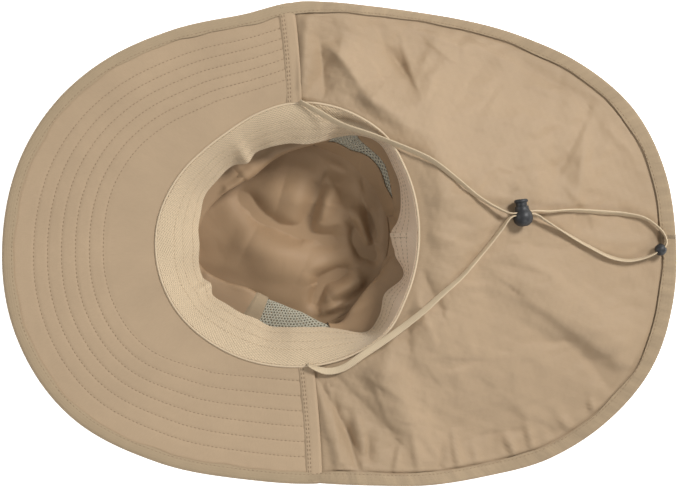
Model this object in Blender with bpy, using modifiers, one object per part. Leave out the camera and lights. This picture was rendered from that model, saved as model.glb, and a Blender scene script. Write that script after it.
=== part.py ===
# A wide-brimmed fishing hat with a soft neck flap, lying crown down, with its chin tape, cord lock and bead.
# Metres, +Z up. The origin is the centre of the crown tip's flat outer face, which the hat rests on.
# +X is the back of the hat and +Y is the wearer's left. A direction is in degrees from +X, seen from above.
from math import atan2, ceil, cos, degrees, exp, hypot, pi, radians, sin, sqrt

import bmesh
import bpy
from mathutils import Matrix, Vector
from mathutils.bvhtree import BVHTree

# Clearances between separate pieces
CLEARANCE = 0.0004
PANEL_GAP = 0.0004
SEAM_CLEARANCE = 0.0006
FLOOR_GAP = 0.0002

# Head opening, crown and sweatband
HEAD_RADIUS = 0.0914
RIM_HEIGHT = 0.062
WALL_THICKNESS = 0.0012
WALL_INSET = 0.0014
WALL_BULGE = 0.0026
TIP_LENGTH = 0.136
TIP_WIDTH = 0.128
TIP_THICKNESS = 0.0015
TIP_FLAT_RADIUS = 0.009
TIP_FOLD_HEIGHT = 0.005
TIP_FOLD_WIDTH = 0.010
BAND_WIDTH = 0.032
BAND_THICKNESS = 0.0012
BAND_PROUD = 0.0015
BAND_BOW = 0.003

# Brim, neck flap and edge binding
BRIM_DEPTH = 0.1064
FLAP_DEPTH = 0.184
LEFT_SIDE_DEPTH = 0.0706
RIGHT_SIDE_DEPTH = 0.0823
BRIM_THICKNESS = 0.003
FLAP_THICKNESS = 0.002
BRIM_RISE = 0.010
BRIM_CURL = 1.3
FOLD_HEIGHT = 0.005
FOLD_WIDTH = 0.012
BINDING_WALL = 0.0007
BRIM_BINDING_WIDTH = 0.007
FLAP_BINDING_WIDTH = 0.0095

# Chin tape, cord lock and bead
TAPE_WIDTH = 0.005
TAPE_THICKNESS = 0.0012
TAPE_GAP = 0.0008
TAPE_STEP = 0.014
LOCK_RADIUS = 0.007
LOCK_HEIGHT = 0.0142
LOCK_FLOOR = 0.003
LOCK_SLOT_WIDTH = 0.0056
STEM_RADIUS = 0.004
STEM_FLOOR = 0.0013
STEM_CLEARANCE = 0.0003
BUTTON_TRAVEL = 0.0022
CAP_RADIUS = 0.00495
CAP_THICKNESS = 0.0024
BEAD_RADIUS = 0.00425
BEAD_LENGTH = 0.0078
BEAD_SLOT = 0.0018
LIE_CLEARANCE = 0.0005

# A ribbon's own tilt when it lies flat
FLAT_TILT = pi / 2

# Mesh fineness
BRIM_COLUMNS = 42
BRIM_ROWS = 5
FLAP_COLUMNS = 50
FLAP_ROWS = 12
BAND_COLUMNS = 60
WALL_COLUMN = 7.5
TIP_COLUMNS = 40
TURN_STEPS = 20

# Where the brim ends and the flap begins, in degrees, at the seam and at the outer edge
LEFT_JOIN = (85.4, 89.4)
RIGHT_JOIN = (279.8, 277.2)
JOIN_BLEND = 9.0

# The head opening: direction, share of HEAD_RADIUS
HEAD_SHAPE = (
    (0, 1.00), (30, 1.03), (45, 1.06), (60, 1.05), (75, 1.03), (90, 0.995), (105, 0.945), (120, 0.905),
    (135, 0.905), (150, 0.935), (180, 1.00), (210, 1.02), (240, 1.00), (270, 1.00), (300, 1.04),
    (314, 1.06), (332, 1.02),
)

# The outline: direction, share of the way from the side's depth to the brim's or the flap's depth
OUTLINE = (
    (0, 1.00), (10, 0.96), (20, 0.86), (30, 0.67), (40, 0.446), (50, 0.258), (60, 0.122), (70, 0.04),
    (80, 0.007), (88, 0.0), (100, -0.06), (120, 0.27), (140, 0.656), (160, 0.913), (180, 1.00),
    (200, 1.06), (220, 0.89), (240, 0.37), (260, -0.03), (278, 0.0), (290, 0.10), (300, 0.25),
    (310, 0.425), (320, 0.66), (330, 0.86), (340, 0.99), (350, 1.02),
)

# How far the flap's edge has fallen: direction, share of the way from the brim's level to the floor
DROOP = (
    (0, 1.0), (30, 1.0), (45, 0.93), (55, 0.72), (65, 0.42), (75, 0.14), (84, 0.02), (90, 0.0),
    (180, 0.0), (274, 0.0), (284, 0.03), (293, 0.16), (303, 0.46), (313, 0.78), (323, 0.95), (335, 1.0),
)

# How high the brim's edge rises: direction, share of BRIM_RISE
LIFT = (
    (0, 0.4), (88, 0.4), (115, 0.8), (140, 1.15), (165, 0.85), (190, 0.8), (215, 1.1), (240, 1.0),
    (260, 0.6), (278, 0.4),
)

# Folds of the flap. Each runs from one direction and share across the flap to another.
# Columns: from direction, from across, to direction, to across, share of FOLD_WIDTH, share of FOLD_HEIGHT.
FLAP_FOLDS = (
    (83, 0.15, 86, 0.80, 0.80, 0.55),
    (77, 0.12, 79, 0.62, 0.80, -0.75),
    (46, 0.08, 74, 0.52, 0.75, 0.90),
    (50, 0.38, 58, 0.58, 0.90, -0.70),
    (46, 0.30, 47, 0.66, 1.10, 0.60),
    (39, 0.80, 52, 0.80, 0.90, 0.55),
    (12, 0.62, 20, 0.80, 0.90, -0.80),
    (11, 0.71, 18, 0.88, 0.80, 0.50),
    (-14, 0.42, -22, 0.80, 0.95, -0.70),
    (-10, 0.46, -18, 0.84, 0.95, 0.55),
    (1, 0.66, -2, 0.86, 0.90, -0.40),
    (-73, 0.20, -75, 0.80, 0.85, 0.80),
    (-67, 0.14, -68, 0.72, 0.85, -0.80),
    (-79, 0.30, -80, 0.80, 0.70, -0.50),
    (-54, 0.21, -59, 0.76, 1.00, 0.65),
    (-37, 0.67, -48, 0.68, 1.00, -0.50),
    (22, 0.06, 8, 0.18, 0.80, 0.45),
    (-27, 0.66, -27, 0.84, 1.00, 0.40),
)

# The inner fold of the crown's wall: direction, share of the head opening's radius
CREST = (
    (0, 0.87), (20, 0.88), (40, 0.92), (60, 0.83), (80, 0.69), (100, 0.62), (125, 0.56), (150, 0.60),
    (170, 0.645), (200, 0.66), (215, 0.56), (233, 0.48), (255, 0.51), (279, 0.605), (300, 0.80),
    (312, 0.77), (325, 0.76), (340, 0.82),
)

# The wall from the seam down to the tip. Level 2 is the seam, 1 the sweatband's foot and 0 the floor.
# Columns: level, share of the way from the head opening in to the crest, from the crest out to the tip,
# and share of WALL_BULGE.
WALL_PROFILE = (
    (2.00, 0.00, 0.00, 0.00),
    (1.50, 0.00, 0.00, 1.00),
    (1.04, 0.10, 0.00, 0.40),
    (0.74, 1.00, 0.00, 0.00),
    (0.45, 1.00, 0.45, 0.00),
    (0.15, 1.00, 1.00, 1.00),
    (0.03, 1.00, 1.00, 0.00),
)

# The wall's panels: name, from direction, to direction, colour
WALL_PANELS = (
    ("mesh_panel_left", 17, 129, "net"),
    ("crown_wall_front", 129, 231, "inner cloth"),
    ("mesh_panel_right", 231, 343, "net"),
    ("crown_wall_back", 343, 377, "inner cloth"),
)

# Folds of the tip, in shares of its half length and half width.
# Columns: from x, from y, to x, to y, share of TIP_FOLD_WIDTH, share of TIP_FOLD_HEIGHT.
TIP_FOLDS = (
    (-0.55, 0.18, 0.62, -0.42, 0.90, 0.90),
    (-0.28, 0.62, 0.70, 0.20, 0.90, 0.80),
    (0.30, 0.62, 0.24, 0.40, 0.70, 0.90),
    (0.20, -0.74, 0.58, -0.44, 0.80, 0.60),
)

# How far the sweatband leans inward: direction, share of its width
LEAN = (
    (0, 0.50), (15, 0.27), (30, 0.18), (45, 0.16), (55, 0.30), (72, 0.80), (90, 0.83), (115, 0.66),
    (126, 0.61), (157, 0.68), (188, 0.90), (211, 0.76), (238, 0.85), (258, 0.79), (280, 0.83),
    (300, 0.55), (309, 0.24), (318, 0.30), (327, 0.42), (342, 0.17), (350, 0.40),
)

# The cord lock's body and the bead, turned. Columns: share of the height, share of the radius.
LOCK_PROFILE = (
    (1.00, 0.00), (1.00, 0.66), (0.97, 0.71), (0.84, 0.715), (0.76, 0.79), (0.66, 0.91), (0.54, 0.985),
    (0.42, 1.00), (0.28, 0.955), (0.15, 0.82), (0.06, 0.62), (0.00, 0.38), (0.00, 0.00),
)
BEAD_PROFILE = (
    (1.00, 0.00), (1.00, 0.40), (0.90, 0.72), (0.72, 0.94), (0.50, 1.00), (0.28, 0.94), (0.10, 0.72),
    (0.00, 0.40), (0.00, 0.00),
)

# The tape's crossing of the lock, seen from above, and the direction that the lock's button points
LOCK_PLACE = (0.1651, 0.0150)
LOCK_HEADING = (-0.12, 1.0)
BEAD_PLACE = (0.2650, -0.0103)
BEAD_HEADING = (-0.82, -0.57)

# The chin tape's route, seen from above, as chosen.
# Columns: x, y, extra height over the cloth, degrees turned from flat to standing on its edge.
FIRST_STRAND = (
    (0.0085, 0.0935, 0.0, 10), (0.0215, 0.0862, 0.0, 25), (0.0368, 0.0777, 0.0, 40),
    (0.0592, 0.0700, 0.0, 45), (0.0788, 0.0623, 0.0, 45), (0.1005, 0.0525, 0.0, 50),
    (0.1187, 0.0389, 0.0, 62), (0.1334, 0.0270, 0.0006, 80), (0.1460, 0.0196, 0.0026, 90),
)
LOOP_OUT = (
    (0.1840, 0.0166, 0.0022, 85), (0.1985, 0.0175, 0.0, 75), (0.2237, 0.0161, 0.0, 60),
    (0.2412, 0.0147, 0.0, 65), (0.2531, 0.0122, 0.0, 75), (0.2618, 0.0070, 0.0, 85),
    (0.2676, 0.0008, 0.0, 88), (0.2694, -0.0040, 0.0, 90),
)
LOOP_BACK = (
    (0.2520, -0.0166, 0.0, 80), (0.2412, -0.0180, 0.0, 70), (0.2307, -0.0161, 0.0, 60),
    (0.2146, -0.0087, 0.0, 60), (0.2013, -0.0014, 0.0, 62), (0.1900, 0.0052, 0.0012, 75),
    (0.1812, 0.0104, 0.0034, 88),
)
SECOND_STRAND = (
    (0.1500, 0.0040, 0.0026, 84), (0.1428, -0.0052, 0.0004, 70), (0.1336, -0.0161, 0.0, 60),
    (0.1215, -0.0297, 0.0, 42), (0.1094, -0.0403, 0.0, 22), (0.0942, -0.0539, 0.0, 8),
    (0.0746, -0.0690, 0.0, 0), (0.0519, -0.0857, 0.0, 0), (0.0365, -0.0963, 0.0, 0),
    (0.0284, -0.0976, 0.0, 0), (0.0212, -0.0966, 0.0, 0), (0.0140, -0.0926, 0.0, 0),
)

COLOURS = {
    "brim cloth": ((184, 159, 129), 0.85),
    "flap cloth": ((186, 162, 132), 0.80),
    "binding": ((172, 151, 122), 0.85),
    "inner cloth": ((152, 126, 97), 0.85),
    "net": ((150, 143, 124), 0.80),
    "sweatband": ((203, 183, 154), 0.90),
    "tape": ((198, 178, 148), 0.75),
    "black plastic": ((55, 56, 56), 0.35),
}


def clear_scene():
    for thing in list(bpy.data.objects):
        bpy.data.objects.remove(thing, do_unlink=True)


def collection(name):
    group = bpy.data.collections.new(name)
    bpy.context.scene.collection.children.link(group)
    return group


def mix(low, high, share):
    return low + (high - low) * share


def smooth(share):
    share = min(1.0, max(0.0, share))
    return share * share * (3 - 2 * share)


def around(rows, direction):
    # A smooth closed curve through rows of direction and share, read at one direction.
    count = len(rows)
    turn = (direction - rows[0][0]) % 360
    here = max(i for i in range(count) if rows[i][0] - rows[0][0] <= turn)
    picks = [rows[(here + step) % count] for step in (-1, 0, 1, 2)]
    spans = [(picks[i + 1][0] - picks[i][0]) % 360 for i in range(3)]
    rises = [(picks[i + 1][1] - picks[i][1]) / spans[i] for i in range(3)]
    enter = (rises[0] * spans[1] + rises[1] * spans[0]) / (spans[0] + spans[1])
    leave = (rises[1] * spans[2] + rises[2] * spans[1]) / (spans[1] + spans[2])
    share = (turn - (rows[here][0] - rows[0][0])) / spans[1]
    rest = 1 - share
    ends = picks[1][1] * rest * rest * (1 + 2 * share) + picks[2][1] * share * share * (3 - 2 * share)
    return ends + spans[1] * share * rest * (enter * rest - leave * share)


def linear(channel):
    value = channel / 255
    return value / 12.92 if value <= 0.04045 else ((value + 0.055) / 1.055) ** 2.4


def material(name):
    colour, roughness = COLOURS[name]
    made = bpy.data.materials.new(name)
    made.use_nodes = True
    shader = made.node_tree.nodes["Principled BSDF"]
    shader.inputs["Base Color"].default_value = (*[linear(channel) for channel in colour], 1)
    shader.inputs["Roughness"].default_value = roughness
    shader.inputs["Metallic"].default_value = 0.0
    return made


def add_object(name, data, group, finish=None):
    made = bpy.data.objects.new(name, data)
    group.objects.link(made)
    if finish:
        data.materials.append(finish)
    return made


def radial(direction, radius, height):
    return Vector((radius * cos(radians(direction)), radius * sin(radians(direction)), height))


def head_radius(direction):
    return HEAD_RADIUS * around(HEAD_SHAPE, direction)


def seam_radius(direction):
    # The inner edge of the brim and the flap, just outside the sweatband.
    return head_radius(direction) + 2 * CLEARANCE


def edge_radius(direction):
    # The outer edge. The side's depth goes smoothly from the left join to the right one, both ways round.
    turn = (direction - LEFT_JOIN[1]) % 360
    front = RIGHT_JOIN[1] - LEFT_JOIN[1]
    if turn < front:
        side = mix(LEFT_SIDE_DEPTH, RIGHT_SIDE_DEPTH, smooth(turn / front))
        depth = BRIM_DEPTH
    else:
        side = mix(RIGHT_SIDE_DEPTH, LEFT_SIDE_DEPTH, smooth((turn - front) / (360 - front)))
        depth = FLAP_DEPTH
    return head_radius(direction) + side + (depth - side) * around(OUTLINE, direction)


def edge_slant(direction):
    # The cosine of the angle between the edge's normal and the direction from the crown's centre.
    step = 0.5
    change = (edge_radius(direction + step) - edge_radius(direction - step)) / radians(2 * step)
    radius = edge_radius(direction)
    return radius / hypot(radius, change)


def flap_share(direction):
    # 0 on the brim and 1 on the flap, with the change made on the flap's side of each join.
    turn = direction % 360
    if LEFT_JOIN[1] <= turn <= RIGHT_JOIN[1]:
        return 0.0
    past = min((LEFT_JOIN[1] - turn) % 360, (turn - RIGHT_JOIN[1]) % 360)
    return smooth(past / JOIN_BLEND)


def binding_share(direction):
    # The binding's width as a share of the way across the brim or the flap.
    width = mix(BRIM_BINDING_WIDTH, FLAP_BINDING_WIDTH, flap_share(direction))
    return width / edge_slant(direction) / (edge_radius(direction) - seam_radius(direction))


def edge_floor():
    # The height of the flap's middle surface where its binding lies on the floor.
    return FLAP_THICKNESS / 2 + CLEARANCE + BINDING_WALL + FLOOR_GAP


def smooth_height(direction, across):
    # The middle surface of the brim and the flap without the flap's folds.
    rise = BRIM_RISE * around(LIFT, direction)
    droop = min(1.0, max(0.0, around(DROOP, direction)))
    fall = droop * (RIM_HEIGHT + rise - edge_floor()) * mix(across, smooth(across), 0.75)
    return RIM_HEIGHT + rise * across ** BRIM_CURL - fall


def smooth_point(direction, across):
    radius = mix(seam_radius(direction), edge_radius(direction), across)
    return radial(direction, radius, smooth_height(direction, across))


def fold_lines(table, place):
    # Each fold as its two ends seen from above, its width and its height.
    return [(place(a, b), place(c, d), width, height) for a, b, c, d, width, height in table]


def fold_height(lines, spot, width_size, height_size):
    total = 0.0
    for start, end, width, height in lines:
        along = (end - start).to_2d()
        share = (spot - start).to_2d().dot(along) / along.length_squared
        nearest = start.to_2d() + along * min(1.0, max(0.0, share))
        off = (spot.to_2d() - nearest).length / (width * width_size)
        total += height * height_size * exp(-off * off)
    return total


def cloth_point(direction, across):
    spot = smooth_point(direction, across)
    inner = smooth((across - 0.04) / 0.14)
    outer = smooth((1 - binding_share(direction) - across) / 0.10)
    ends = smooth(flap_share(direction) * 2 - 0.2)
    spot.z += inner * outer * ends * fold_height(flap_lines, spot, FOLD_WIDTH, FOLD_HEIGHT)
    return spot


def surface(name, grid, group, finish, thickness, closed=False, cap=False):
    # A thin solid round a grid of points, rows of equal length, with its middle on the grid.
    mesh = bpy.data.meshes.new(name)
    shape = bmesh.new()
    rows = [[shape.verts.new(point) for point in row] for row in grid]
    columns = len(grid[0])
    for upper, lower in zip(rows, rows[1:]):
        for i in range(columns if closed else columns - 1):
            j = (i + 1) % columns
            shape.faces.new((upper[i], upper[j], lower[j], lower[i]))
    if cap:
        shape.faces.new(rows[0])
    bmesh.ops.recalc_face_normals(shape, faces=shape.faces)
    shape.to_mesh(mesh)
    shape.free()
    made = add_object(name, mesh, group, finish)
    wall = made.modifiers.new("thickness", "SOLIDIFY")
    wall.thickness = thickness
    wall.offset = 0.0
    wall.use_even_offset = True
    mesh.shade_smooth()
    mesh.set_sharp_from_angle(angle=radians(50))
    return made


def cloth_grid(starts, ends, columns, rows):
    # The brim or the flap. The last row but one lies under the binding's inner edge.
    grid = []
    for row in range(rows + 1):
        line = []
        for column in range(columns + 1):
            rough = mix(starts[1], ends[1], column / columns)
            across = 1.0 if row == rows else (1 - binding_share(rough)) * row / (rows - 1)
            direction = mix(mix(*starts, across), mix(*ends, across), column / columns)
            line.append(cloth_point(direction, across))
        grid.append(line)
    return grid


def flap_ends():
    # The flap's ends, clear of the brim's.
    gap = degrees(PANEL_GAP / HEAD_RADIUS)
    return [join + gap for join in RIGHT_JOIN], [join + 360 - gap for join in LEFT_JOIN]


def make_brim(group, finish):
    grid = cloth_grid(LEFT_JOIN, RIGHT_JOIN, BRIM_COLUMNS, BRIM_ROWS)
    return surface("brim", grid, group, finish, BRIM_THICKNESS)


def make_flap(group, finish):
    starts, ends = flap_ends()
    grid = cloth_grid(starts, ends, FLAP_COLUMNS, FLAP_ROWS)
    return surface("neck_flap", grid, group, finish, FLAP_THICKNESS)


def make_binding(group, finish):
    # A tape folded round the edge, its section a U: top inner edge, top and bottom corners, bottom inner edge.
    starts, ends = flap_ends()
    directions = [mix(LEFT_JOIN[1], RIGHT_JOIN[1], i / BRIM_COLUMNS) for i in range(BRIM_COLUMNS + 1)]
    directions += [mix(starts[1], ends[1], i / FLAP_COLUMNS) for i in range(FLAP_COLUMNS + 1)]
    sections = []
    for direction in directions:
        edge = cloth_point(direction, 1.0)
        inner = cloth_point(direction, 1 - binding_share(direction))
        outward = (edge - inner).normalized()
        upward = outward.cross(radial(direction + 90, 1.0, 0.0))
        half = mix(BRIM_THICKNESS, FLAP_THICKNESS, flap_share(direction)) / 2 + CLEARANCE + BINDING_WALL / 2
        corner = edge + outward * (CLEARANCE / edge_slant(direction) + BINDING_WALL / 2)
        lift = upward * half
        sections.append((inner + lift, corner + lift, corner - lift, inner - lift))
    return surface("edge_binding", list(zip(*sections)), group, finish, BINDING_WALL, closed=True)


def tip_radius(direction):
    length, width = TIP_LENGTH / 2, TIP_WIDTH / 2
    turn = radians(direction)
    return length * width / hypot(width * cos(turn), length * sin(turn))


def make_tip(group, finish):
    # Flat at the centre and round its edge, folded between.
    lines = fold_lines(TIP_FOLDS, lambda x, y: Vector((x * TIP_LENGTH / 2, y * TIP_WIDTH / 2, 0)))
    grid = []
    for share in (None, 0.30, 0.50, 0.68, 0.85, 1.0):
        line = []
        for column in range(TIP_COLUMNS):
            direction = 360 * column / TIP_COLUMNS
            radius = TIP_FLAT_RADIUS if share is None else tip_radius(direction) * share
            spot = radial(direction, radius, TIP_THICKNESS / 2)
            place = radius / tip_radius(direction)
            calm = smooth((0.98 - place) / 0.2) * smooth((radius / TIP_FLAT_RADIUS - 1) / 1.2)
            spot.z += calm * fold_height(lines, spot, TIP_FOLD_WIDTH, TIP_FOLD_HEIGHT)
            line.append(spot)
        grid.append(line)
    return surface("crown_tip", grid, group, finish, TIP_THICKNESS, closed=True, cap=True)


def wall_top(direction):
    cloth = mix(BRIM_THICKNESS, FLAP_THICKNESS, min(1.0, flap_share(direction) * 4)) / 2
    return RIM_HEIGHT - cloth - SEAM_CLEARANCE


def wall_point(direction, level, inward, outward, bulge):
    foot = RIM_HEIGHT - BAND_WIDTH
    height = foot * level if level <= 1 else mix(foot, wall_top(direction), level - 1)
    head = head_radius(direction) + WALL_INSET + WALL_THICKNESS / 2
    crest = head_radius(direction) * around(CREST, direction)
    tip = tip_radius(direction) + WALL_THICKNESS / 2 + CLEARANCE
    radius = mix(mix(head, crest, inward), tip, outward) + WALL_BULGE * bulge
    return radius, height


def make_wall(name, start, end, group, finish):
    columns = round((end - start) / WALL_COLUMN)
    grid = []
    for row in WALL_PROFILE:
        line = []
        for column in range(columns + 1):
            direction = mix(start, end, column / columns)
            radius, height = wall_point(direction, *row)
            side = (column == 0) - (column == columns)
            direction += degrees(side * PANEL_GAP / 2 / radius)
            line.append(radial(direction, radius, height))
        grid.append(line)
    return surface(name, grid, group, finish, WALL_THICKNESS)


def make_band(group, finish):
    grid = []
    for share in (0.0, 0.3, 0.65, 1.0):
        line = []
        for column in range(BAND_COLUMNS):
            direction = 360 * column / BAND_COLUMNS
            lean = min(0.95, max(0.0, around(LEAN, direction)))
            radius = head_radius(direction) + CLEARANCE - BAND_THICKNESS / 2 - BAND_WIDTH * lean * share
            bow = BAND_BOW * lean * sin(pi * share)
            height = RIM_HEIGHT + BAND_PROUD - BAND_WIDTH * sqrt(1 - lean * lean) * share + bow
            line.append(radial(direction, radius, height))
        grid.append(line)
    return surface("sweatband", grid, group, finish, BAND_THICKNESS, closed=True)


def across_at(x, y):
    direction = degrees(atan2(y, x))
    seam = seam_radius(direction)
    return direction, (hypot(x, y) - seam) / (edge_radius(direction) - seam)


def cloth_normal(x, y):
    # The normal of the flap without its folds; straight up over the head opening.
    direction, across = across_at(x, y)
    if across <= 0:
        return Vector((0, 0, 1))
    heights = []
    step = 0.002
    for dx, dy in ((step, 0), (-step, 0), (0, step), (0, -step)):
        there, share = across_at(x + dx, y + dy)
        heights.append(smooth_height(there, min(1.0, max(0.0, share))))
    return Vector((heights[1] - heights[0], heights[3] - heights[2], 2 * step)).normalized()


def ground_height(trees, x, y):
    # The top of the cloth below a place, or the sweatband's top edge over the head opening.
    direction, across = across_at(x, y)
    seam_level = RIM_HEIGHT + BAND_PROUD
    if hypot(x, y) < seam_radius(direction) + 2 * BAND_THICKNESS:
        return seam_level
    hits = [tree.ray_cast(Vector((x, y, 1.0)), Vector((0, 0, -1)))[0] for tree in trees]
    heights = [hit.z for hit in hits if hit]
    return max(heights) if heights else smooth_height(direction, min(1.0, across))


def tape_height(trees, x, y, heading, turned):
    # The lowest height of the tape's middle line that keeps its whole width clear of the cloth.
    normal = cloth_normal(x, y)
    half = (TAPE_THICKNESS * cos(turned) + TAPE_WIDTH * sin(turned)) / 2
    reach = (TAPE_WIDTH * cos(turned) + TAPE_THICKNESS * sin(turned)) / 2
    side = Vector((-heading.y, heading.x)).normalized() * reach
    heights = []
    for part in (-1, 0, 1):
        off = side * part
        slope = (normal.x * off.x + normal.y * off.y) / normal.z
        heights.append(ground_height(trees, x + off.x, y + off.y) + slope)
    return max(heights) + half / normal.z + CLEARANCE


def lying_frame(place, heading, lift):
    # A frame whose centre is over the place and lift above the cloth, measured along the cloth's normal.
    # Its Z axis follows the heading and its Y axis is the normal.
    centre = Vector((*place, 0.0))
    normal = cloth_normal(*place)
    foot = centre - normal * lift
    normal = cloth_normal(foot.x, foot.y)
    direction, across = across_at(foot.x, foot.y)
    centre.z = smooth_height(direction, across) + (FLAP_THICKNESS / 2 + lift) * normal.z
    along = Vector((*heading, 0.0))
    along = (along - normal * along.dot(normal)).normalized()
    sideways = normal.cross(along)
    frame = Matrix((sideways, normal, along)).transposed().to_4x4()
    frame.translation = centre
    return frame


def lock_frame():
    return lying_frame(LOCK_PLACE, LOCK_HEADING, LOCK_RADIUS + LIE_CLEARANCE)


def bead_frame():
    return lying_frame(BEAD_PLACE, BEAD_HEADING, BEAD_RADIUS + BINDING_WALL + CLEARANCE + LIE_CLEARANCE)


def lock_crossing(way):
    # One strand through the lock's slot, towards the flap's edge (way 1) or back (way -1).
    frame = lock_frame()
    toward = 1 if (frame.to_3x3() @ Vector((1, 0, 0))).x > 0 else -1
    level = way * (TAPE_THICKNESS + TAPE_GAP) / 2
    steps = (-1.15, -0.5, 0.0, 0.5, 1.15)
    return [frame @ Vector((toward * way * step * LOCK_RADIUS, 0, level)) for step in steps]


def bead_crossing():
    frame = bead_frame()
    return [frame @ Vector((0, 0, step * BEAD_LENGTH)) for step in (-0.55, 0.0, 0.55)]


def tape_route(trees):
    # The chosen points with their heights over the cloth, and the fixed ones in the lock and the bead.
    legs = [FIRST_STRAND, lock_crossing(1), LOOP_OUT, bead_crossing(), LOOP_BACK, lock_crossing(-1), SECOND_STRAND]
    plan = []
    for leg in legs:
        for row in leg:
            if isinstance(row, Vector):
                plan.append((row.x, row.y, row.z, radians(90)))
            else:
                plan.append((row[0], row[1], row[2], radians(row[3])))
    fixed = [isinstance(row, Vector) for leg in legs for row in leg]
    route = []
    for i, (x, y, height, turned) in enumerate(plan):
        before, after = plan[max(0, i - 1)], plan[min(len(plan) - 1, i + 1)]
        heading = Vector((after[0] - before[0], after[1] - before[1]))
        if not fixed[i]:
            height += tape_height(trees, x, y, heading, turned)
        route.append((Vector((x, y, height)), turned, fixed[i]))
    return route


def smooth_route(route, trees):
    # A smooth curve through the route's points, lifted wherever it would dip into the cloth.
    points = []
    for i in range(len(route) - 1):
        picks = [route[min(len(route) - 1, max(0, i + step))][0] for step in (-1, 0, 1, 2)]
        span = (picks[2] - picks[1]).length
        before = max(1e-6, (picks[1] - picks[0]).length)
        after = max(1e-6, (picks[3] - picks[2]).length)
        chord = (picks[2] - picks[1]) / span
        enter = ((picks[1] - picks[0]) / before * span + chord * before) / (span + before) if i else chord
        leave = (chord * after + (picks[3] - picks[2]) / after * span) / (span + after)
        leave = chord if i == len(route) - 2 else leave
        count = max(1, ceil(span / TAPE_STEP))
        for k in range(count):
            share = k / count
            rest = 1 - share
            spot = picks[1] * rest * rest * (1 + 2 * share) + picks[2] * share * share * (3 - 2 * share)
            spot = spot + (enter * rest - leave * share) * span * share * rest
            turned = mix(route[i][1], route[i + 1][1], share)
            if not (route[i][2] and route[i + 1][2]) and not (route[i][2] and k == 0):
                heading = (enter * rest + leave * share).to_2d()
                spot.z = max(spot.z, tape_height(trees, spot.x, spot.y, heading, turned))
            points.append((spot, turned))
    points.append((route[-1][0], route[-1][1]))
    return points


def make_tape(trees, group, finish):
    # A flat tape: a rounded ribbon whose width lies along the cloth, turned towards its edge by each row.
    points = smooth_route(tape_route(trees), trees)
    data = bpy.data.curves.new("chin_cord", "CURVE")
    data.dimensions = "3D"
    data.twist_mode = "Z_UP"
    data.bevel_depth = TAPE_THICKNESS / 2
    data.bevel_resolution = 2
    data.extrude = (TAPE_WIDTH - TAPE_THICKNESS) / 2
    data.use_fill_caps = True
    spline = data.splines.new("POLY")
    spline.points.add(len(points) - 1)
    for i, (spot, turned) in enumerate(points):
        before, after = points[max(0, i - 1)][0], points[min(len(points) - 1, i + 1)][0]
        heading = (after - before).normalized()
        side = Vector((0, 0, 1)).cross(heading).normalized()
        upright = heading.cross(side)
        normal = cloth_normal(spot.x, spot.y)
        slope = atan2(normal.dot(side), normal.dot(upright))
        spline.points[i].co = (*spot, 1)
        spline.points[i].tilt = FLAT_TILT - slope + turned
    return add_object("chin_cord", data, group, finish)


def turned_solid(name, profile, height, radius, low, group, finish=None):
    mesh = bpy.data.meshes.new(name)
    shape = bmesh.new()
    verts = [shape.verts.new((radius * out, 0, low + height * up)) for up, out in profile]
    for upper, lower in zip(verts, verts[1:]):
        shape.edges.new((upper, lower))
    shape.to_mesh(mesh)
    shape.free()
    made = add_object(name, mesh, group, finish)
    screw = made.modifiers.new("turn", "SCREW")
    screw.steps = TURN_STEPS
    screw.render_steps = TURN_STEPS
    screw.use_merge_vertices = True
    screw.merge_threshold = 0.00001
    return made


def cutter(name, mesh_maker, matrix, group):
    mesh = bpy.data.meshes.new(name)
    shape = bmesh.new()
    mesh_maker(shape)
    shape.to_mesh(mesh)
    shape.free()
    made = add_object(name, mesh, group)
    made.matrix_world = matrix
    made.hide_render = True
    made.display_type = "WIRE"
    return made


def box_maker(size):
    return lambda shape: bmesh.ops.create_cube(shape, size=1.0, matrix=Matrix.Diagonal((*size, 1.0)))


def cylinder_maker(radius, depth):
    def make(shape):
        bmesh.ops.create_cone(
            shape, cap_ends=True, segments=TURN_STEPS, radius1=radius, radius2=radius, depth=depth)
    return make


def cut(target, tool):
    step = target.modifiers.new(tool.name, "BOOLEAN")
    step.operation = "DIFFERENCE"
    step.solver = "EXACT"
    step.object = tool


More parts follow.
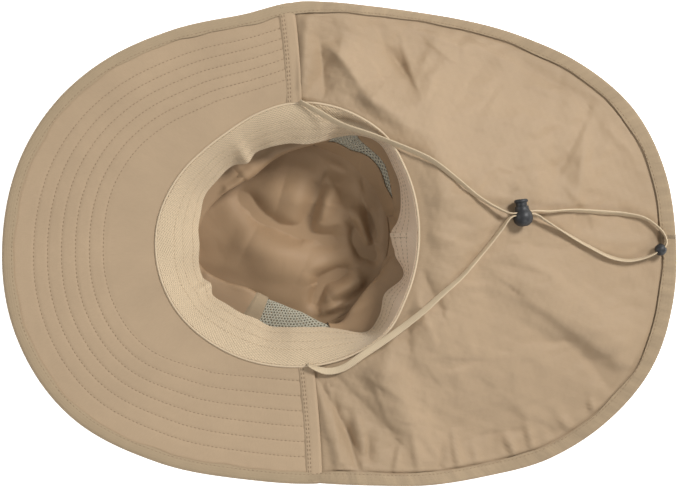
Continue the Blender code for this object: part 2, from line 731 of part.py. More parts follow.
def make_lock(group, cutters, finish):
    # The tapes cross the body and the button's stem through slots; a spring would push the button out.
    frame = lock_frame()
    place = bpy.data.objects.new("cord_lock_place", None)
    group.objects.link(place)
    place.matrix_world = frame
    pair = 2 * TAPE_THICKNESS + TAPE_GAP
    slot = pair + 2 * CLEARANCE
    stem_bottom = -pair / 2 - CLEARANCE - STEM_FLOOR
    bore_bottom = stem_bottom - BUTTON_TRAVEL - CLEARANCE
    body_bottom = bore_bottom - LOCK_FLOOR
    body_top = body_bottom + LOCK_HEIGHT
    cap_bottom = body_top + BUTTON_TRAVEL + CLEARANCE
    body = turned_solid("cord_lock_body", LOCK_PROFILE, LOCK_HEIGHT, LOCK_RADIUS, body_bottom, group, finish)
    stem_height = cap_bottom - stem_bottom
    total = stem_height + CAP_THICKNESS
    button_profile = (
        (1.0, 0.0), (1.0, 0.76), (1 - 0.30 * CAP_THICKNESS / total, 1.0), (1 - 0.80 * CAP_THICKNESS / total, 1.0),
        (stem_height / total, 0.90), (stem_height / total, STEM_RADIUS / CAP_RADIUS),
        (0.0, STEM_RADIUS / CAP_RADIUS), (0.0, 0.0),
    )
    button = turned_solid("cord_lock_button", button_profile, total, CAP_RADIUS, stem_bottom, group, finish)
    for piece in (body, button):
        piece.parent = place
    depth = LOCK_HEIGHT * 2
    bore = cutter(
        "bore_cutter", cylinder_maker(STEM_RADIUS + STEM_CLEARANCE, depth),
        frame @ Matrix.Translation((0, 0, bore_bottom + depth / 2)), cutters)
    through = 4 * LOCK_RADIUS
    body_slot = cutter(
        "body_slot_cutter", box_maker((through, LOCK_SLOT_WIDTH, slot)), frame.copy(), cutters)
    stem_slot = cutter(
        "stem_slot_cutter", box_maker((through, LOCK_SLOT_WIDTH, slot + BUTTON_TRAVEL)),
        frame @ Matrix.Translation((0, 0, BUTTON_TRAVEL / 2)), cutters)
    cut(body, bore)
    cut(body, body_slot)
    cut(button, stem_slot)
    return body, button


def make_bead(group, cutters, finish):
    frame = bead_frame()
    bead = turned_solid("cord_end_bead", BEAD_PROFILE, BEAD_LENGTH, BEAD_RADIUS, -BEAD_LENGTH / 2, group, finish)
    bead.matrix_world = frame
    slot = cutter(
        "bead_slot_cutter", box_maker((BEAD_SLOT, LOCK_SLOT_WIDTH, 3 * BEAD_LENGTH)), frame.copy(), cutters)
    cut(bead, slot)
    return bead


clear_scene()
flap_lines = fold_lines(FLAP_FOLDS, smooth_point)
finishes = {name: material(name) for name in COLOURS}
hat = collection("fishing_hat")
tools = collection("cutters")
make_brim(hat, finishes["brim cloth"])
flap_object = make_flap(hat, finishes["flap cloth"])
binding_object = make_binding(hat, finishes["binding"])
make_tip(hat, finishes["inner cloth"])
for panel_name, panel_start, panel_end, panel_finish in WALL_PANELS:
    make_wall(panel_name, panel_start, panel_end, hat, finishes[panel_finish])
make_band(hat, finishes["sweatband"])
bpy.context.view_layer.update()
depsgraph = bpy.context.evaluated_depsgraph_get()
cloth_trees = [BVHTree.FromObject(piece, depsgraph) for piece in (flap_object, binding_object)]
make_tape(cloth_trees, hat, finishes["tape"])
make_lock(hat, tools, finishes["black plastic"])
make_bead(hat, tools, finishes["black plastic"])
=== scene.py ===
import math

import bmesh
import bpy
import numpy as np
from mathutils import Matrix, Vector
from mathutils.bvhtree import BVHTree


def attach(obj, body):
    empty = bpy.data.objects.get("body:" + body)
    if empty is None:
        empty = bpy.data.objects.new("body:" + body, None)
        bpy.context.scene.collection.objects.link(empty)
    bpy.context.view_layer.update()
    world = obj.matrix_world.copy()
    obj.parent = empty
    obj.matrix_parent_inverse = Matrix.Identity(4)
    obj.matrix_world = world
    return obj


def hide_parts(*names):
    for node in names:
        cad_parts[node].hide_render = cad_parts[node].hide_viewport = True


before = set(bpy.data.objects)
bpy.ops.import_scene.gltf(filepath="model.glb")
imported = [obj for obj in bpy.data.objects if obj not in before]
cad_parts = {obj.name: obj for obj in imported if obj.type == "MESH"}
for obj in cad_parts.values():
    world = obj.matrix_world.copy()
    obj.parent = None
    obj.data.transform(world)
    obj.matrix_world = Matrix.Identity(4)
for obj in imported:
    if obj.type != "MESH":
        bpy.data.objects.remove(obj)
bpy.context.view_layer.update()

# lengths are in metres, or in millimetres where a table says so; directions are in degrees from +X, seen
# from above; the hat lies crown down
mm = 0.001
circle = 2 * math.pi

print("camera, floor and light")
photo = {"x": 0.0364, "y": -0.00665, "level": 0.062, "away": 3.0, "width": 0.4753, "film": 36.0}
studio = {
    "sky": 0.26, "floor": (0.93, 0.93, 0.93, 1.0), "side": 6.0, "drop": 0.0002, "glow": 1.0,
    # the oval beneath the hat in which the floor doesn't glow, and how soft its edge is
    "shade": (0.036, -0.006), "shadeReach": (0.238, 0.17), "shadeStart": 0.8, "shadeEdge": 5.0,
    # each lamp's place, size and power
    "key": ((1.65, 1.2, 1.8), 0.7, 58.0), "fill": ((1.2, -1.7, 1.8), 1.2, 19.0),
    "left": ((-2.0, 0.25, 1.7), 0.8, 13.0),
}
black, white = (0.0, 0.0, 0.0, 1.0), (1.0, 1.0, 1.0, 1.0)


def addObject(name, data):
    thing = bpy.data.objects.new(name, data)
    bpy.context.scene.collection.objects.link(thing)
    return thing


def makeCamera():
    data = bpy.data.cameras.new("camera")
    data.sensor_width = photo["film"]
    data.lens = photo["film"] * photo["away"] / photo["width"]
    camera = addObject("camera", data)
    camera.location = (photo["x"], photo["y"], photo["level"] + photo["away"])
    bpy.context.scene.camera = camera


def makeLight(name):
    place, size, power = studio[name]
    data = bpy.data.lights.new(name, "AREA")
    data.shape = "DISK"
    data.size = size
    data.energy = power
    light = addObject(name, data)
    light.location = place
    light.rotation_euler = (-Vector(place)).to_track_quat("-Z", "Y").to_euler()


def makeStudio():
    world = bpy.data.worlds.new("studio")
    bpy.context.scene.world = world
    world.use_nodes = True
    sky = world.node_tree.nodes["Background"]
    sky.inputs["Color"].default_value = white
    sky.inputs["Strength"].default_value = studio["sky"]
    for name in ("key", "fill", "left"):
        makeLight(name)
    bpy.context.scene.view_settings.view_transform = "Standard"
    side = studio["side"]
    mesh = bpy.data.meshes.new("floor")
    mesh.from_pydata([(-side, -side, 0), (side, -side, 0), (side, side, 0), (-side, side, 0)], [], [(0, 1, 2, 3)])
    floor = addObject("floor", mesh)
    floor.location.z = -studio["drop"]
    return floor


makeCamera()
floor = makeStudio()

print("finishes")


class Yarn:
    # one socket of a finish, so that sums of sockets read as sums
    def __init__(self, finish, socket):
        self.finish, self.socket = finish, socket

    def maths(self, operation, *values):
        return self.finish.add("ShaderNodeMath", {"operation": operation}, dict(enumerate(values)))

    def __add__(self, other):
        return self.maths("ADD", self, other)

    def __sub__(self, other):
        return self.maths("SUBTRACT", self, other)

    def __rsub__(self, other):
        return self.maths("SUBTRACT", other, self)

    def __mul__(self, other):
        return self.maths("MULTIPLY", self, other)

    __radd__, __rmul__ = __add__, __mul__

    def sine(self):
        return self.maths("SINE", self)

    def clamped(self):
        return self.finish.add("ShaderNodeClamp", {}, {0: self})


class Finish:
    # one material on a Principled shader
    def __init__(self, name, roughness, sheen=0.0, specular=0.5):
        self.material = bpy.data.materials.new(name)
        self.material.use_nodes = True
        self.tree = self.material.node_tree
        self.shader = self.tree.nodes["Principled BSDF"]
        self.shine("Roughness", roughness)
        self.shine("Specular IOR Level", specular)
        self.shine("Sheen Weight", sheen)
        self.shine("Sheen Roughness", 0.6)

    def join(self, socket, value):
        if isinstance(value, Yarn):
            self.tree.links.new(value.socket, socket)
        else:
            socket.default_value = value

    def add(self, kind, settings, values, out=0):
        node = self.tree.nodes.new(kind)
        for key, value in settings.items():
            setattr(node, key, value)
        for key, value in values.items():
            self.join(node.inputs[key], value)
        return Yarn(self, node.outputs[out])

    def split(self, vector):
        node = self.add("ShaderNodeSeparateXYZ", {}, {0: vector}).socket.node
        return [Yarn(self, out) for out in node.outputs]

    def threads(self):
        # the cloth's own coordinates in metres: the vector, and its parts along and across the threads
        vector = self.add("ShaderNodeAttribute", {"attribute_name": "threads"}, {}, out="Vector")
        return vector, *self.split(vector)[:2]

    def spot(self):
        return self.add("ShaderNodeTexCoord", {}, {}, out="Object")

    def noise(self, vector, scale, detail=2.0, roughness=0.5):
        return self.add("ShaderNodeTexNoise", {},
                        {"Vector": vector, "Scale": scale, "Detail": detail, "Roughness": roughness})

    def stretched(self, vector, scale, turn=0.0):
        return self.add("ShaderNodeMapping", {"vector_type": "POINT"},
                        {"Vector": vector, "Scale": scale, "Rotation": (0.0, 0.0, turn)})

    def blend(self, share, low, high):
        return self.add("ShaderNodeMix", {"data_type": "RGBA"}, {0: share, 6: low, 7: high}, out=2)

    def tint(self, share, rgb, low, high):
        return self.blend(share, colour(rgb, low), colour(rgb, high))

    def shine(self, name, value):
        self.join(self.shader.inputs[name], value)

    def made(self, tone, height):
        self.shine("Base Color", tone)
        self.shine("Normal", self.add("ShaderNodeBump", {}, {"Height": height, "Distance": 1.0, "Strength": 1.0}))
        return self.material


def colour(rgb, scale=1.0):
    # a colour as the photo shows it, 0 to 255, made linear
    values = []
    for channel in rgb:
        share = min(1.0, channel * scale / 255)
        values.append(share / 12.92 if share <= 0.04045 else ((share + 0.055) / 1.055) ** 2.4)
    return (*values, 1.0)


def wovenFinish(name, rgb, pitch, roughness, wrinkle, mottle):
    # plain weave: two sets of threads that cross, with a heathered colour and soft small wrinkles
    finish = Finish(name, roughness, 0.05, 0.35)
    threads, along, across = finish.threads()
    turn, depth = circle / pitch, 0.00003
    weave = (along * turn).sine() * (across * turn).sine() * 0.5 + 0.5
    heather = finish.noise(finish.stretched(threads, (2200.0, 260.0, 1.0)), 1.0, 1.0)
    patches = finish.noise(threads, 22.0, 3.0, 0.55)
    share = (patches * 0.65 + heather * 0.35 - 0.5) * 1.6 + 0.5
    creases = finish.noise(threads, 75.0, 3.0, 0.55)
    crinkles = finish.noise(threads, 330.0, 2.0, 0.6)
    return finish.made(finish.tint(share, rgb, 1 - mottle, 1 + mottle),
                       creases * wrinkle + crinkles * (wrinkle * 0.35) + weave * depth)


def ribbedFinish(name, rgb, pitch, depth, roughness, worn=None):
    # a tape with ribs across its length; worn is its colour on the flap, where it is puckered too
    finish = Finish(name, roughness, 0.08, 0.35)
    threads, along, across = finish.threads()
    rib = (along * (circle / pitch)).sine() * 0.5 + 0.5
    cross = (across * (circle / (pitch * 0.8))).sine() * 0.5 + 0.5
    patches = finish.noise(threads, 60.0, 3.0, 0.6)
    tone = finish.tint(patches * 0.7 + rib * 0.18 + cross * 0.12, rgb, 0.95, 1.05)
    height = rib * depth + cross * (depth * 0.5) + patches * (depth * 0.8)
    if worn:
        seam, ease, pucker = 0.012, 80.0, 0.0008
        onFlap = ((finish.split(finish.spot())[0] - seam) * ease).clamped()
        puckers = finish.noise(finish.stretched(threads, (150.0, 60.0, 1.0), 0.5), 1.0, 3.0, 0.6)
        stains = (puckers * 0.6 + patches * 0.4 - 0.5) * 2.6 + 0.5
        tone = finish.blend(onFlap, tone, finish.tint(stains, worn, 0.93, 1.06))
        height = height + puckers * onFlap * pucker
    return finish.made(tone, height)


def knitFinish(name, rgb, paintedLightLow, paintedLightHigh, pitch, depth, roughness):
    # a knitted band: slanting rows of small loops, painted paler towards the back of the hat: painted light on the
    # steep inner side there, which the lamps leave in shade
    finish = Finish(name, roughness, 0.2, 0.25)
    threads, along, across = finish.threads()
    turn, back, ease = circle / pitch, 0.062, 60.0
    slant = ((along * 0.75 + across) * turn).sine()
    counter = ((along * 1.15 - across * 0.45) * turn).sine()
    loops = slant * 0.2 + slant * counter * 0.34 + 0.5
    fuzz = finish.noise(threads, 900.0, 2.0, 0.7)
    patches = finish.noise(threads, 40.0, 2.0)
    share = loops * 0.55 + fuzz * 0.38 + patches * 0.14 - 0.03
    paintedLight = finish.blend(share, colour(paintedLightLow), colour(paintedLightHigh))
    # painted light: past x = back the knit blends into the pale colours
    paintedLightShare = (finish.split(finish.spot())[0] - back) * ease
    return finish.made(finish.blend(paintedLightShare, finish.tint(share, rgb, 0.64, 1.16), paintedLight),
                       loops * depth + fuzz * (depth * 0.9))


def threadFinish(name, rgb):
    # twisted sewing thread
    finish = Finish(name, 0.6, 0.1, 0.4)
    along, across = finish.threads()[1:]
    pitch, depth = 0.0007, 0.00004
    twist = ((along + across * 0.7) * (circle / pitch)).sine() * 0.5 + 0.5
    return finish.made(finish.tint(twist, rgb, 0.86, 1.08), twist * depth)


def netFinish(name, rgb):
    # knitted net: fine ribs between the holes
    finish = Finish(name, 0.7, 0.1, 0.4)
    threads, along, across = finish.threads()
    turn, depth = circle / 0.0006, 0.00006
    ribs = (along * turn).sine() * (across * turn * 0.5).sine() * 0.5 + 0.5
    share = ribs * 0.5 + finish.noise(threads, 90.0) * 0.5
    return finish.made(finish.tint(share, rgb, 0.9, 1.1), ribs * depth)


def plasticFinish(name, rgb):
    # moulded black plastic with a fine grain and faint scuffs
    finish = Finish(name, 0.34)
    place, depth = finish.spot(), 0.00003
    grain = finish.noise(place, 2600.0)
    scuffs = finish.noise(place, 420.0, 4.0, 0.7)
    finish.shine("Roughness", scuffs * 0.2 + 0.38)
    return finish.made(finish.tint(scuffs, rgb, 0.86, 1.16), grain * depth)


def paperFinish():
    # white paper: it glows where the photo shows it, and lies in shade beneath the hat
    finish = Finish("paper", 0.9)
    finish.shine("Base Color", studio["floor"])
    finish.shine("Emission Strength", studio["glow"])
    x, y = [(spot - middle) * (1 / reach) for spot, middle, reach
            in zip(finish.split(finish.spot()), studio["shade"], studio["shadeReach"])]
    outside = (x * x + y * y - studio["shadeStart"]) * studio["shadeEdge"]
    finish.shine("Emission Color", finish.blend(outside, black, white))
    return finish.material


floor.data.materials.append(paperFinish())
tones = {
    "brim": wovenFinish("brimCloth", (178, 154, 125), 0.0006, 0.8, wrinkle=0.00012, mottle=0.045),
    # the flap's cloth is the brim's cloth painted darker: painted shade that offsets the lamps, which light the
    # sloping flap more than the brim
    "flap": wovenFinish("flapClothPaintedShade", (167, 143, 114), 0.0005, 0.62, wrinkle=0.0004, mottle=0.03),
    # the crown's inner cloth is the same cloth painted darker again: painted shade inside the crown
    "inner": wovenFinish("innerClothPaintedShade", (163, 134, 102), 0.0005, 0.6, wrinkle=0.00018, mottle=0.025),
    "binding": ribbedFinish("bindingTape", (170, 149, 120), 0.0009, 0.00008, 0.82, worn=(163, 142, 114)),
    # the band's last two colours are its painted light at the back of the hat
    "band": knitFinish("bandKnit", (215, 192, 159), (222, 190, 158), (255, 234, 208), 0.0018, 0.00032, 0.9),
    "piping": ribbedFinish("piping", (208, 187, 157), 0.0012, 0.00006, 0.8),
    "net": netFinish("ventNet", (178, 173, 154)),
    "tape": ribbedFinish("chinTape", (202, 182, 151), 0.0011, 0.0001, 0.72),
    "thread": threadFinish("thread", (152, 128, 99)),
    "hemThread": threadFinish("hemThread", (142, 119, 91)),
    "bandThread": threadFinish("bandThread", (198, 176, 145)),
    "plastic": plasticFinish("blackPlastic", (38, 39, 41)),
}

print("shape of the hat")
# the same sizes and tables as the solids have, so that each piece lies where its solid does
gap = 0.0004
head = {
    "radius": 0.0914, "rim": 0.062, "wall": 0.0012, "wallInset": 0.0014, "wallBulge": 0.0026,
    "tipLength": 0.136, "tipWidth": 0.128, "tip": 0.0015, "seamGap": 0.0006,
    "shape": ((0, 1.0), (30, 1.03), (45, 1.06), (60, 1.05), (75, 1.03), (90, 0.995), (105, 0.945), (120, 0.905),
              (135, 0.905), (150, 0.935), (180, 1.0), (210, 1.02), (240, 1.0), (270, 1.0), (300, 1.04),
              (314, 1.06), (332, 1.02)),
    "crest": ((0, 0.87), (20, 0.88), (40, 0.92), (60, 0.83), (80, 0.69), (100, 0.62), (125, 0.56), (150, 0.6),
              (170, 0.645), (200, 0.66), (215, 0.56), (233, 0.48), (255, 0.51), (279, 0.605), (300, 0.8),
              (312, 0.77), (325, 0.76), (340, 0.82)),
    # how much further in the cloth's inner fold lies than the solid's
    "tuck": ((0, 0.0), (280, 0.0), (300, 0.03), (312, 0.05), (325, 0.036), (340, 0.028), (352, 0.0)),
    # level, share in to the crest, share out to the tip, share of the bulge
    "profile": ((2.0, 0.0, 0.0, 0.0), (1.5, 0.0, 0.0, 1.0), (1.04, 0.1, 0.0, 0.4),
                (0.74, 1.0, 0.0, 0.0), (0.45, 1.0, 0.45, 0.0), (0.15, 1.0, 1.0, 1.0),
                (0.03, 1.0, 1.0, 0.0)),
}
cloth = {
    "brimDepth": 0.1064, "flapDepth": 0.184, "leftDepth": 0.0706, "rightDepth": 0.0823,
    "brim": 0.003, "flap": 0.002, "rise": 0.01, "curl": 1.3, "collar": 0.003,
    "leftJoin": (85.4, 89.4), "rightJoin": (279.8, 277.2), "blend": 9.0,
    "outline": ((0, 1.0), (10, 0.96), (20, 0.86), (30, 0.67), (40, 0.446), (50, 0.258), (60, 0.122), (70, 0.04),
                (80, 0.007), (88, 0.0), (100, -0.06), (120, 0.27), (140, 0.656), (160, 0.913), (180, 1.0),
                (200, 1.06), (220, 0.89), (240, 0.37), (260, -0.03), (278, 0.0), (290, 0.1), (300, 0.25),
                (310, 0.425), (320, 0.66), (330, 0.86), (340, 0.99), (350, 1.02)),
    "droop": ((0, 1.0), (30, 1.0), (45, 0.93), (55, 0.72), (65, 0.42), (75, 0.14), (84, 0.02), (90, 0.0),
              (180, 0.0), (274, 0.0), (284, 0.03), (293, 0.16), (303, 0.46), (313, 0.78), (323, 0.95), (335, 1.0)),
    "lift": ((0, 0.4), (88, 0.4), (115, 0.8), (140, 1.15), (165, 0.85), (190, 0.8), (215, 1.1), (240, 1.0),
             (260, 0.6), (278, 0.4)),
    # the seams pull the cloth down beside the binding, just inside it, and beside the brim's hems
    "dip": 0.001, "dipAt": 0.003, "bindingDip": 0.0013, "hemDip": 0.0022,
}
binding = {
    "wall": 0.0007, "onBrim": 0.007, "onFlap": 0.0095, "floorGap": 0.0002,
    # how much of its width shows from above
    "narrow": ((0, 1.0), (20, 0.95), (40, 0.74), (55, 0.58), (72, 0.58), (84, 0.72), (90, 1.0), (180, 1.0),
               (270, 1.0), (284, 0.86), (320, 0.9), (345, 1.0)),
}


def around(rows, direction):
    # a smooth closed curve through rows of direction and share
    spots, shares = np.array(rows, float).T
    spans = np.diff(np.append(spots, spots[0] + 360))
    rises = np.diff(np.append(shares, shares[0])) / spans
    before, last = np.roll(spans, 1), np.roll(rises, 1)
    slopes = (last * spans + rises * before) / (spans + before)
    turn = np.mod(np.asarray(direction, float) - spots[0], 360)
    here = np.searchsorted(spots - spots[0], turn, side="right") - 1
    there = (here + 1) % len(spots)
    share = (turn - (spots[here] - spots[0])) / spans[here]
    rest = 1 - share
    ends = shares[here] * rest * rest * (1 + 2 * share) + shares[there] * share * share * (3 - 2 * share)
    return ends + spans[here] * share * rest * (slopes[here] * rest - slopes[there] * share)


def smooth(share):
    share = np.clip(share, 0.0, 1.0)
    return share * share * (3 - 2 * share)


def mix(low, high, share):
    return low + (high - low) * share


def through(a, b, c, d, share):
    # from b to c along a curve that passes through all four
    return b + 0.5 * share * (c - a + share * (2 * a - 5 * b + 4 * c - d + share * (3 * (b - c) + d - a)))


def bell(off, width):
    return np.exp(-(off / width) ** 2)


def polar(direction, radius, height):
    turn = np.radians(direction)
    return np.stack(np.broadcast_arrays(radius * np.cos(turn), radius * np.sin(turn), height), axis=-1)


def unit(values):
    return values / np.maximum(np.linalg.norm(values, axis=-1, keepdims=True), 1e-12)


def travelled(path):
    # how far along a path each of its points lies
    return np.concatenate([[0.0], np.cumsum(np.linalg.norm(np.diff(path, axis=0), axis=-1))])


def headRadius(direction):
    return head["radius"] * around(head["shape"], direction)


def seamRadius(direction):
    return headRadius(direction) + 2 * gap


def edgeRadius(direction):
    start, end = cloth["leftJoin"][1], cloth["rightJoin"][1]
    turn = np.mod(direction - start, 360)
    front = end - start
    sideFront = mix(cloth["leftDepth"], cloth["rightDepth"], smooth(turn / front))
    sideBack = mix(cloth["rightDepth"], cloth["leftDepth"], smooth((turn - front) / (360 - front)))
    isFront = turn < front
    side = np.where(isFront, sideFront, sideBack)
    depth = np.where(isFront, cloth["brimDepth"], cloth["flapDepth"])
    return headRadius(direction) + side + (depth - side) * around(cloth["outline"], direction)


def edgeSlant(direction):
    # 1 where the edge runs square to the direction, less where it runs aslant
    step = 0.5
    change = (edgeRadius(direction + step) - edgeRadius(direction - step)) / math.radians(2 * step)
    radius = edgeRadius(direction)
    return radius / np.hypot(radius, change)


def clothDepth(direction):
    # from the seam to the edge, measured square to the edge
    return (edgeRadius(direction) - seamRadius(direction)) * edgeSlant(direction)


def joinDirection(name, across):
    # where the brim and the flap meet
    return mix(*cloth[name], across)


def pastJoins(left, right, direction):
    # how many degrees onto the flap
    turn = np.mod(direction, 360)
    return np.minimum(np.mod(left - turn, 360), np.mod(turn - right, 360))


def flapShare(direction):
    # 0 on the brim and 1 on the flap
    left, right = cloth["leftJoin"][1], cloth["rightJoin"][1]
    turn = np.mod(direction, 360)
    return np.where((turn >= left) & (turn <= right), 0.0, smooth(pastJoins(left, right, turn) / cloth["blend"]))


def bindingShare(direction):
    onFlap = binding["onFlap"] * around(binding["narrow"], direction)
    width = mix(binding["onBrim"], onFlap, flapShare(direction))
    return width / edgeSlant(direction) / (edgeRadius(direction) - seamRadius(direction))


def smoothHeight(direction, across):
    rise = cloth["rise"] * around(cloth["lift"], direction)
    droop = np.clip(around(cloth["droop"], direction), 0.0, 1.0)
    floor = cloth["flap"] / 2 + gap + binding["wall"] + binding["floorGap"]
    fall = droop * (head["rim"] + rise - floor) * mix(across, smooth(across), 0.75)
    return head["rim"] + rise * np.maximum(across, 0.0) ** cloth["curl"] - fall


def smoothPoint(direction, across):
    radius = mix(seamRadius(direction), edgeRadius(direction), across)
    return polar(direction, radius, smoothHeight(direction, across))


# folds: two ends, width and height in mm, and how much steeper the left side is than the right; the ends are
# direction and share across in the first two tables, and x and y in mm in the others
mainFolds = (
    (83, 0.15, 86, 0.8, 9.6, 2.75, 0), (77, 0.12, 79, 0.62, 9.6, -3.75, 0), (46, 0.08, 74, 0.52, 9, 4.5, 0),
    (50, 0.38, 58, 0.58, 10.8, -3.5, 0), (46, 0.3, 47, 0.66, 13.2, 3, 0), (39, 0.8, 52, 0.8, 10.8, 2.75, 0),
    (12, 0.62, 20, 0.8, 10.8, -4, 0), (11, 0.71, 18, 0.88, 9.6, 2.5, 0), (-14, 0.42, -22, 0.8, 11.4, -3.5, 0),
    (-10, 0.46, -18, 0.84, 11.4, 2.75, 0), (1, 0.66, -2, 0.86, 10.8, -2, 0), (-73, 0.2, -75, 0.8, 10.2, 4, 0),
    (-67, 0.14, -68, 0.72, 10.2, -4, 0), (-79, 0.3, -80, 0.8, 8.4, -2.5, 0), (-54, 0.21, -59, 0.76, 12, 3.25, 0),
    (-37, 0.67, -48, 0.68, 12, -2.5, 0), (22, 0.06, 8, 0.18, 9.6, 2.25, 0), (-27, 0.66, -27, 0.84, 12, 2, 0),
)
smallFolds = (
    (77, 0.55, 70, 0.47, 3.5, 1.6, 0.3), (71, 0.6, 62, 0.42, 4.5, 1.8, 0.4), (62, 0.62, 55, 0.46, 4, -1.6, 0),
    (57, 0.84, 49, 0.8, 3.5, 1.4, 0.4), (46, 0.84, 37, 0.82, 3, 1.2, 0.4), (36, 0.84, 24, 0.86, 4.5, -1.2, 0),
    (22, 0.83, 14, 0.62, 4, -1.4, 0.5), (19, 0.86, 12, 0.92, 3.5, 1, 0), (14, 0.1, 12, 0.22, 4, 1.2, 0.3),
    (6, 0.04, 4, 0.18, 4, -1, 0), (0, 0.05, -4, 0.2, 4, 1.2, 0.3), (-6, 0.04, -12, 0.16, 4, -0.8, 0),
    (-8, 0.5, -14, 0.72, 5, 1, 0.4), (-19, 0.52, -25, 0.84, 6, 1.2, 0.4), (-75, 0.22, -77, 0.82, 3.6, 2.2, 0.4),
    (-71, 0.4, -74, 0.84, 3.6, -2, 0), (-69, 0.48, -71, 0.86, 3.4, 1.4, 0.3), (-72, 0.1, -62, 0.62, 6, -2, 0.4),
    (-78, 0.12, -79, 0.6, 3.4, 1.4, 0), (-50, 0.2, -46, 0.36, 7, -1.2, 0), (88, 0.72, 84, 0.5, 3.4, 1.2, 0),
    (79, 0.86, 76, 0.66, 4, -1.6, 0.3), (68, 0.88, 66, 0.72, 3.4, 1.2, 0), (61, 0.9, 59, 0.74, 3.4, -1, 0),
    (30, 0.5, 24, 0.66, 8, 1.2, 0.3), (34, 0.3, 26, 0.4, 9, -1, 0), (-30, 0.3, -34, 0.5, 9, 1, 0),
    (-42, 0.4, -36, 0.56, 9, -1, 0), (-16, 0.03, -26, 0.15, 4.5, -2, 0.3), (-24, 0.02, -36, 0.2, 4, 1.8, 0.3),
    (-34, 0.03, -47, 0.22, 4.5, -1.8, 0.2), (-45, 0.04, -57, 0.22, 5, 1.4, 0.2), (74, 0.1, 68, 0.42, 3.4, 1.8, 0.4),
    (66, 0.12, 58, 0.44, 4, -1.6, 0.3), (84, 0.2, 81, 0.66, 2.6, 1.6, 0.3), (81, 0.14, 76, 0.5, 3, -1.8, 0.3),
)
cornerFolds = (
    (8, 150.5, 10.1, 94.5, 8, 2, 0), (22.1, 137.9, 26.2, 100.1, 3.6, -2.6, 0),
    (26.9, 133.7, 39.6, 121.1, 3.6, 2, 0), (35.3, 126.7, 47.9, 108.5, 3.6, 2.2, 0),
    (43.7, 115.5, 59.2, 91.7, 3.8, 1.4, 0), (53.6, 101.5, 73.1, 70.7, 4, 0.6, 0),
    (61.9, 153.3, 71.7, 121.1, 5, -2, 0), (73.1, 129.5, 85.7, 108.5, 3.6, -2.2, 0),
    (80.1, 135.1, 90, 105.7, 3.4, 2.6, -0.5), (99.8, 136.5, 115.2, 123.9, 3, 1.4, -0.4),
    (211.7, 79.1, 204.7, 24.5, 11, 5.2, 0.4), (188, 72.1, 190.8, 31.5, 10, -3, 0),
    (171.1, 77.7, 178.2, 27.3, 12, 3, 0), (99.8, 94.5, 109.5, 59.5, 13, 3, 0),
    (168.3, -44.1, 235.6, -90.3, 11, 6.2, -0.4), (154.3, -53.9, 221.5, -100.1, 12, -4, 0),
    (216, -2.1, 246.7, -4.9, 8, 3.2, 0), (210.4, -66.5, 246.7, -66.5, 12, 2.2, 0),
    (127.8, -10.5, 150.2, -67.9, 17, -4, 0), (105.3, 45.5, 108.1, -18.9, 11, 3.4, 0),
    (106.7, -66.5, 127.8, -115.5, 15, 3, 0), (148.7, -109.9, 173.9, -128.1, 8, 2.6, -0.3),
    (15, -95.9, 22.1, -170.1, 8.5, 3.6, 0), (18.6, -95.9, 52.2, -156.1, 4.6, -5.2, 0),
    (61.9, -97.3, 101.2, -136.5, 24, 6.8, 0), (38.1, -135.1, 50.7, -164.5, 2.6, -3, 0),
    (26.9, -143.5, 29.7, -164.5, 2.4, -1, 0), (85.7, -109.9, 113.8, -137.9, 9, -2.6, 0),
)
gathers = {
    # gathers run in square to the edge: direction of each, how far in it reaches
    "rows": ((-72.5, 0.034), (-67.0, 0.026), (-62.5, 0.036), (-58.5, 0.026), (-55.0, 0.034), (-51.5, 0.024),
             (-49.0, 0.032), (-45.5, 0.026), (-42.5, 0.03), (-39.0, 0.022), (-35.5, 0.024), (-31.0, 0.02)),
    "start": 0.009, "lean": 0.004, "width": 0.0028, "height": 0.0036, "skew": 0.4,
}
flapCreases = {
    "count": 190, "seed": 11, "length": (0.012, 0.05), "width": (0.0016, 0.0042), "height": (0.0003, 0.0011),
    "scatter": 38, "directions": (-80, 84), "shares": (0.1, 0.93), "usualWidth": 0.003,
}


def gatherLines():
    lines = []
    for i, (direction, reach) in enumerate(gathers["rows"]):
        edge = smoothPoint(direction, 1.0)[:2]
        along = unit(smoothPoint(direction + 1.0, 1.0)[:2] - smoothPoint(direction - 1.0, 1.0)[:2])
        inward = np.array([-along[1], along[0]])
        lean = along * gathers["lean"] * math.sin(i * 2.4)
        height = gathers["height"] * (0.75 + 0.25 * math.cos(i * 1.7)) * (1 if i % 3 else -0.9)
        lines.append((edge + inward * gathers["start"], edge + inward * reach + lean, gathers["width"], height,
                      gathers["skew"]))
    return lines


def foldLines(rows, byDirection=False):
    lines = []
    for a, b, c, d, width, height, skew in rows:
        ends = [smoothPoint(*end)[:2] if byDirection else np.array(end) * mm for end in ((a, b), (c, d))]
        lines.append((*ends, width * mm, height * mm, skew))
    return lines


def foldHeight(lines, x, y, fade=0.0, power=2.0):
    # ridges and valleys along short lines; fade thins them towards their ends
    total = np.zeros(np.broadcast(x, y).shape)
    for start, end, width, height, skew in lines:
        along = end - start
        length = along @ along
        share = np.clip(((x - start[0]) * along[0] + (y - start[1]) * along[1]) / length, 0.0, 1.0)
        height = height * (1 - fade + fade * 4 * share * (1 - share))
        dx, dy = x - start[0] - along[0] * share, y - start[1] - along[1] * share
        side = np.sign(along[0] * dy - along[1] * dx)
        off = np.hypot(dx, dy) / (width * (1 - skew * side))
        total += height * np.exp(-off ** power)
    return total


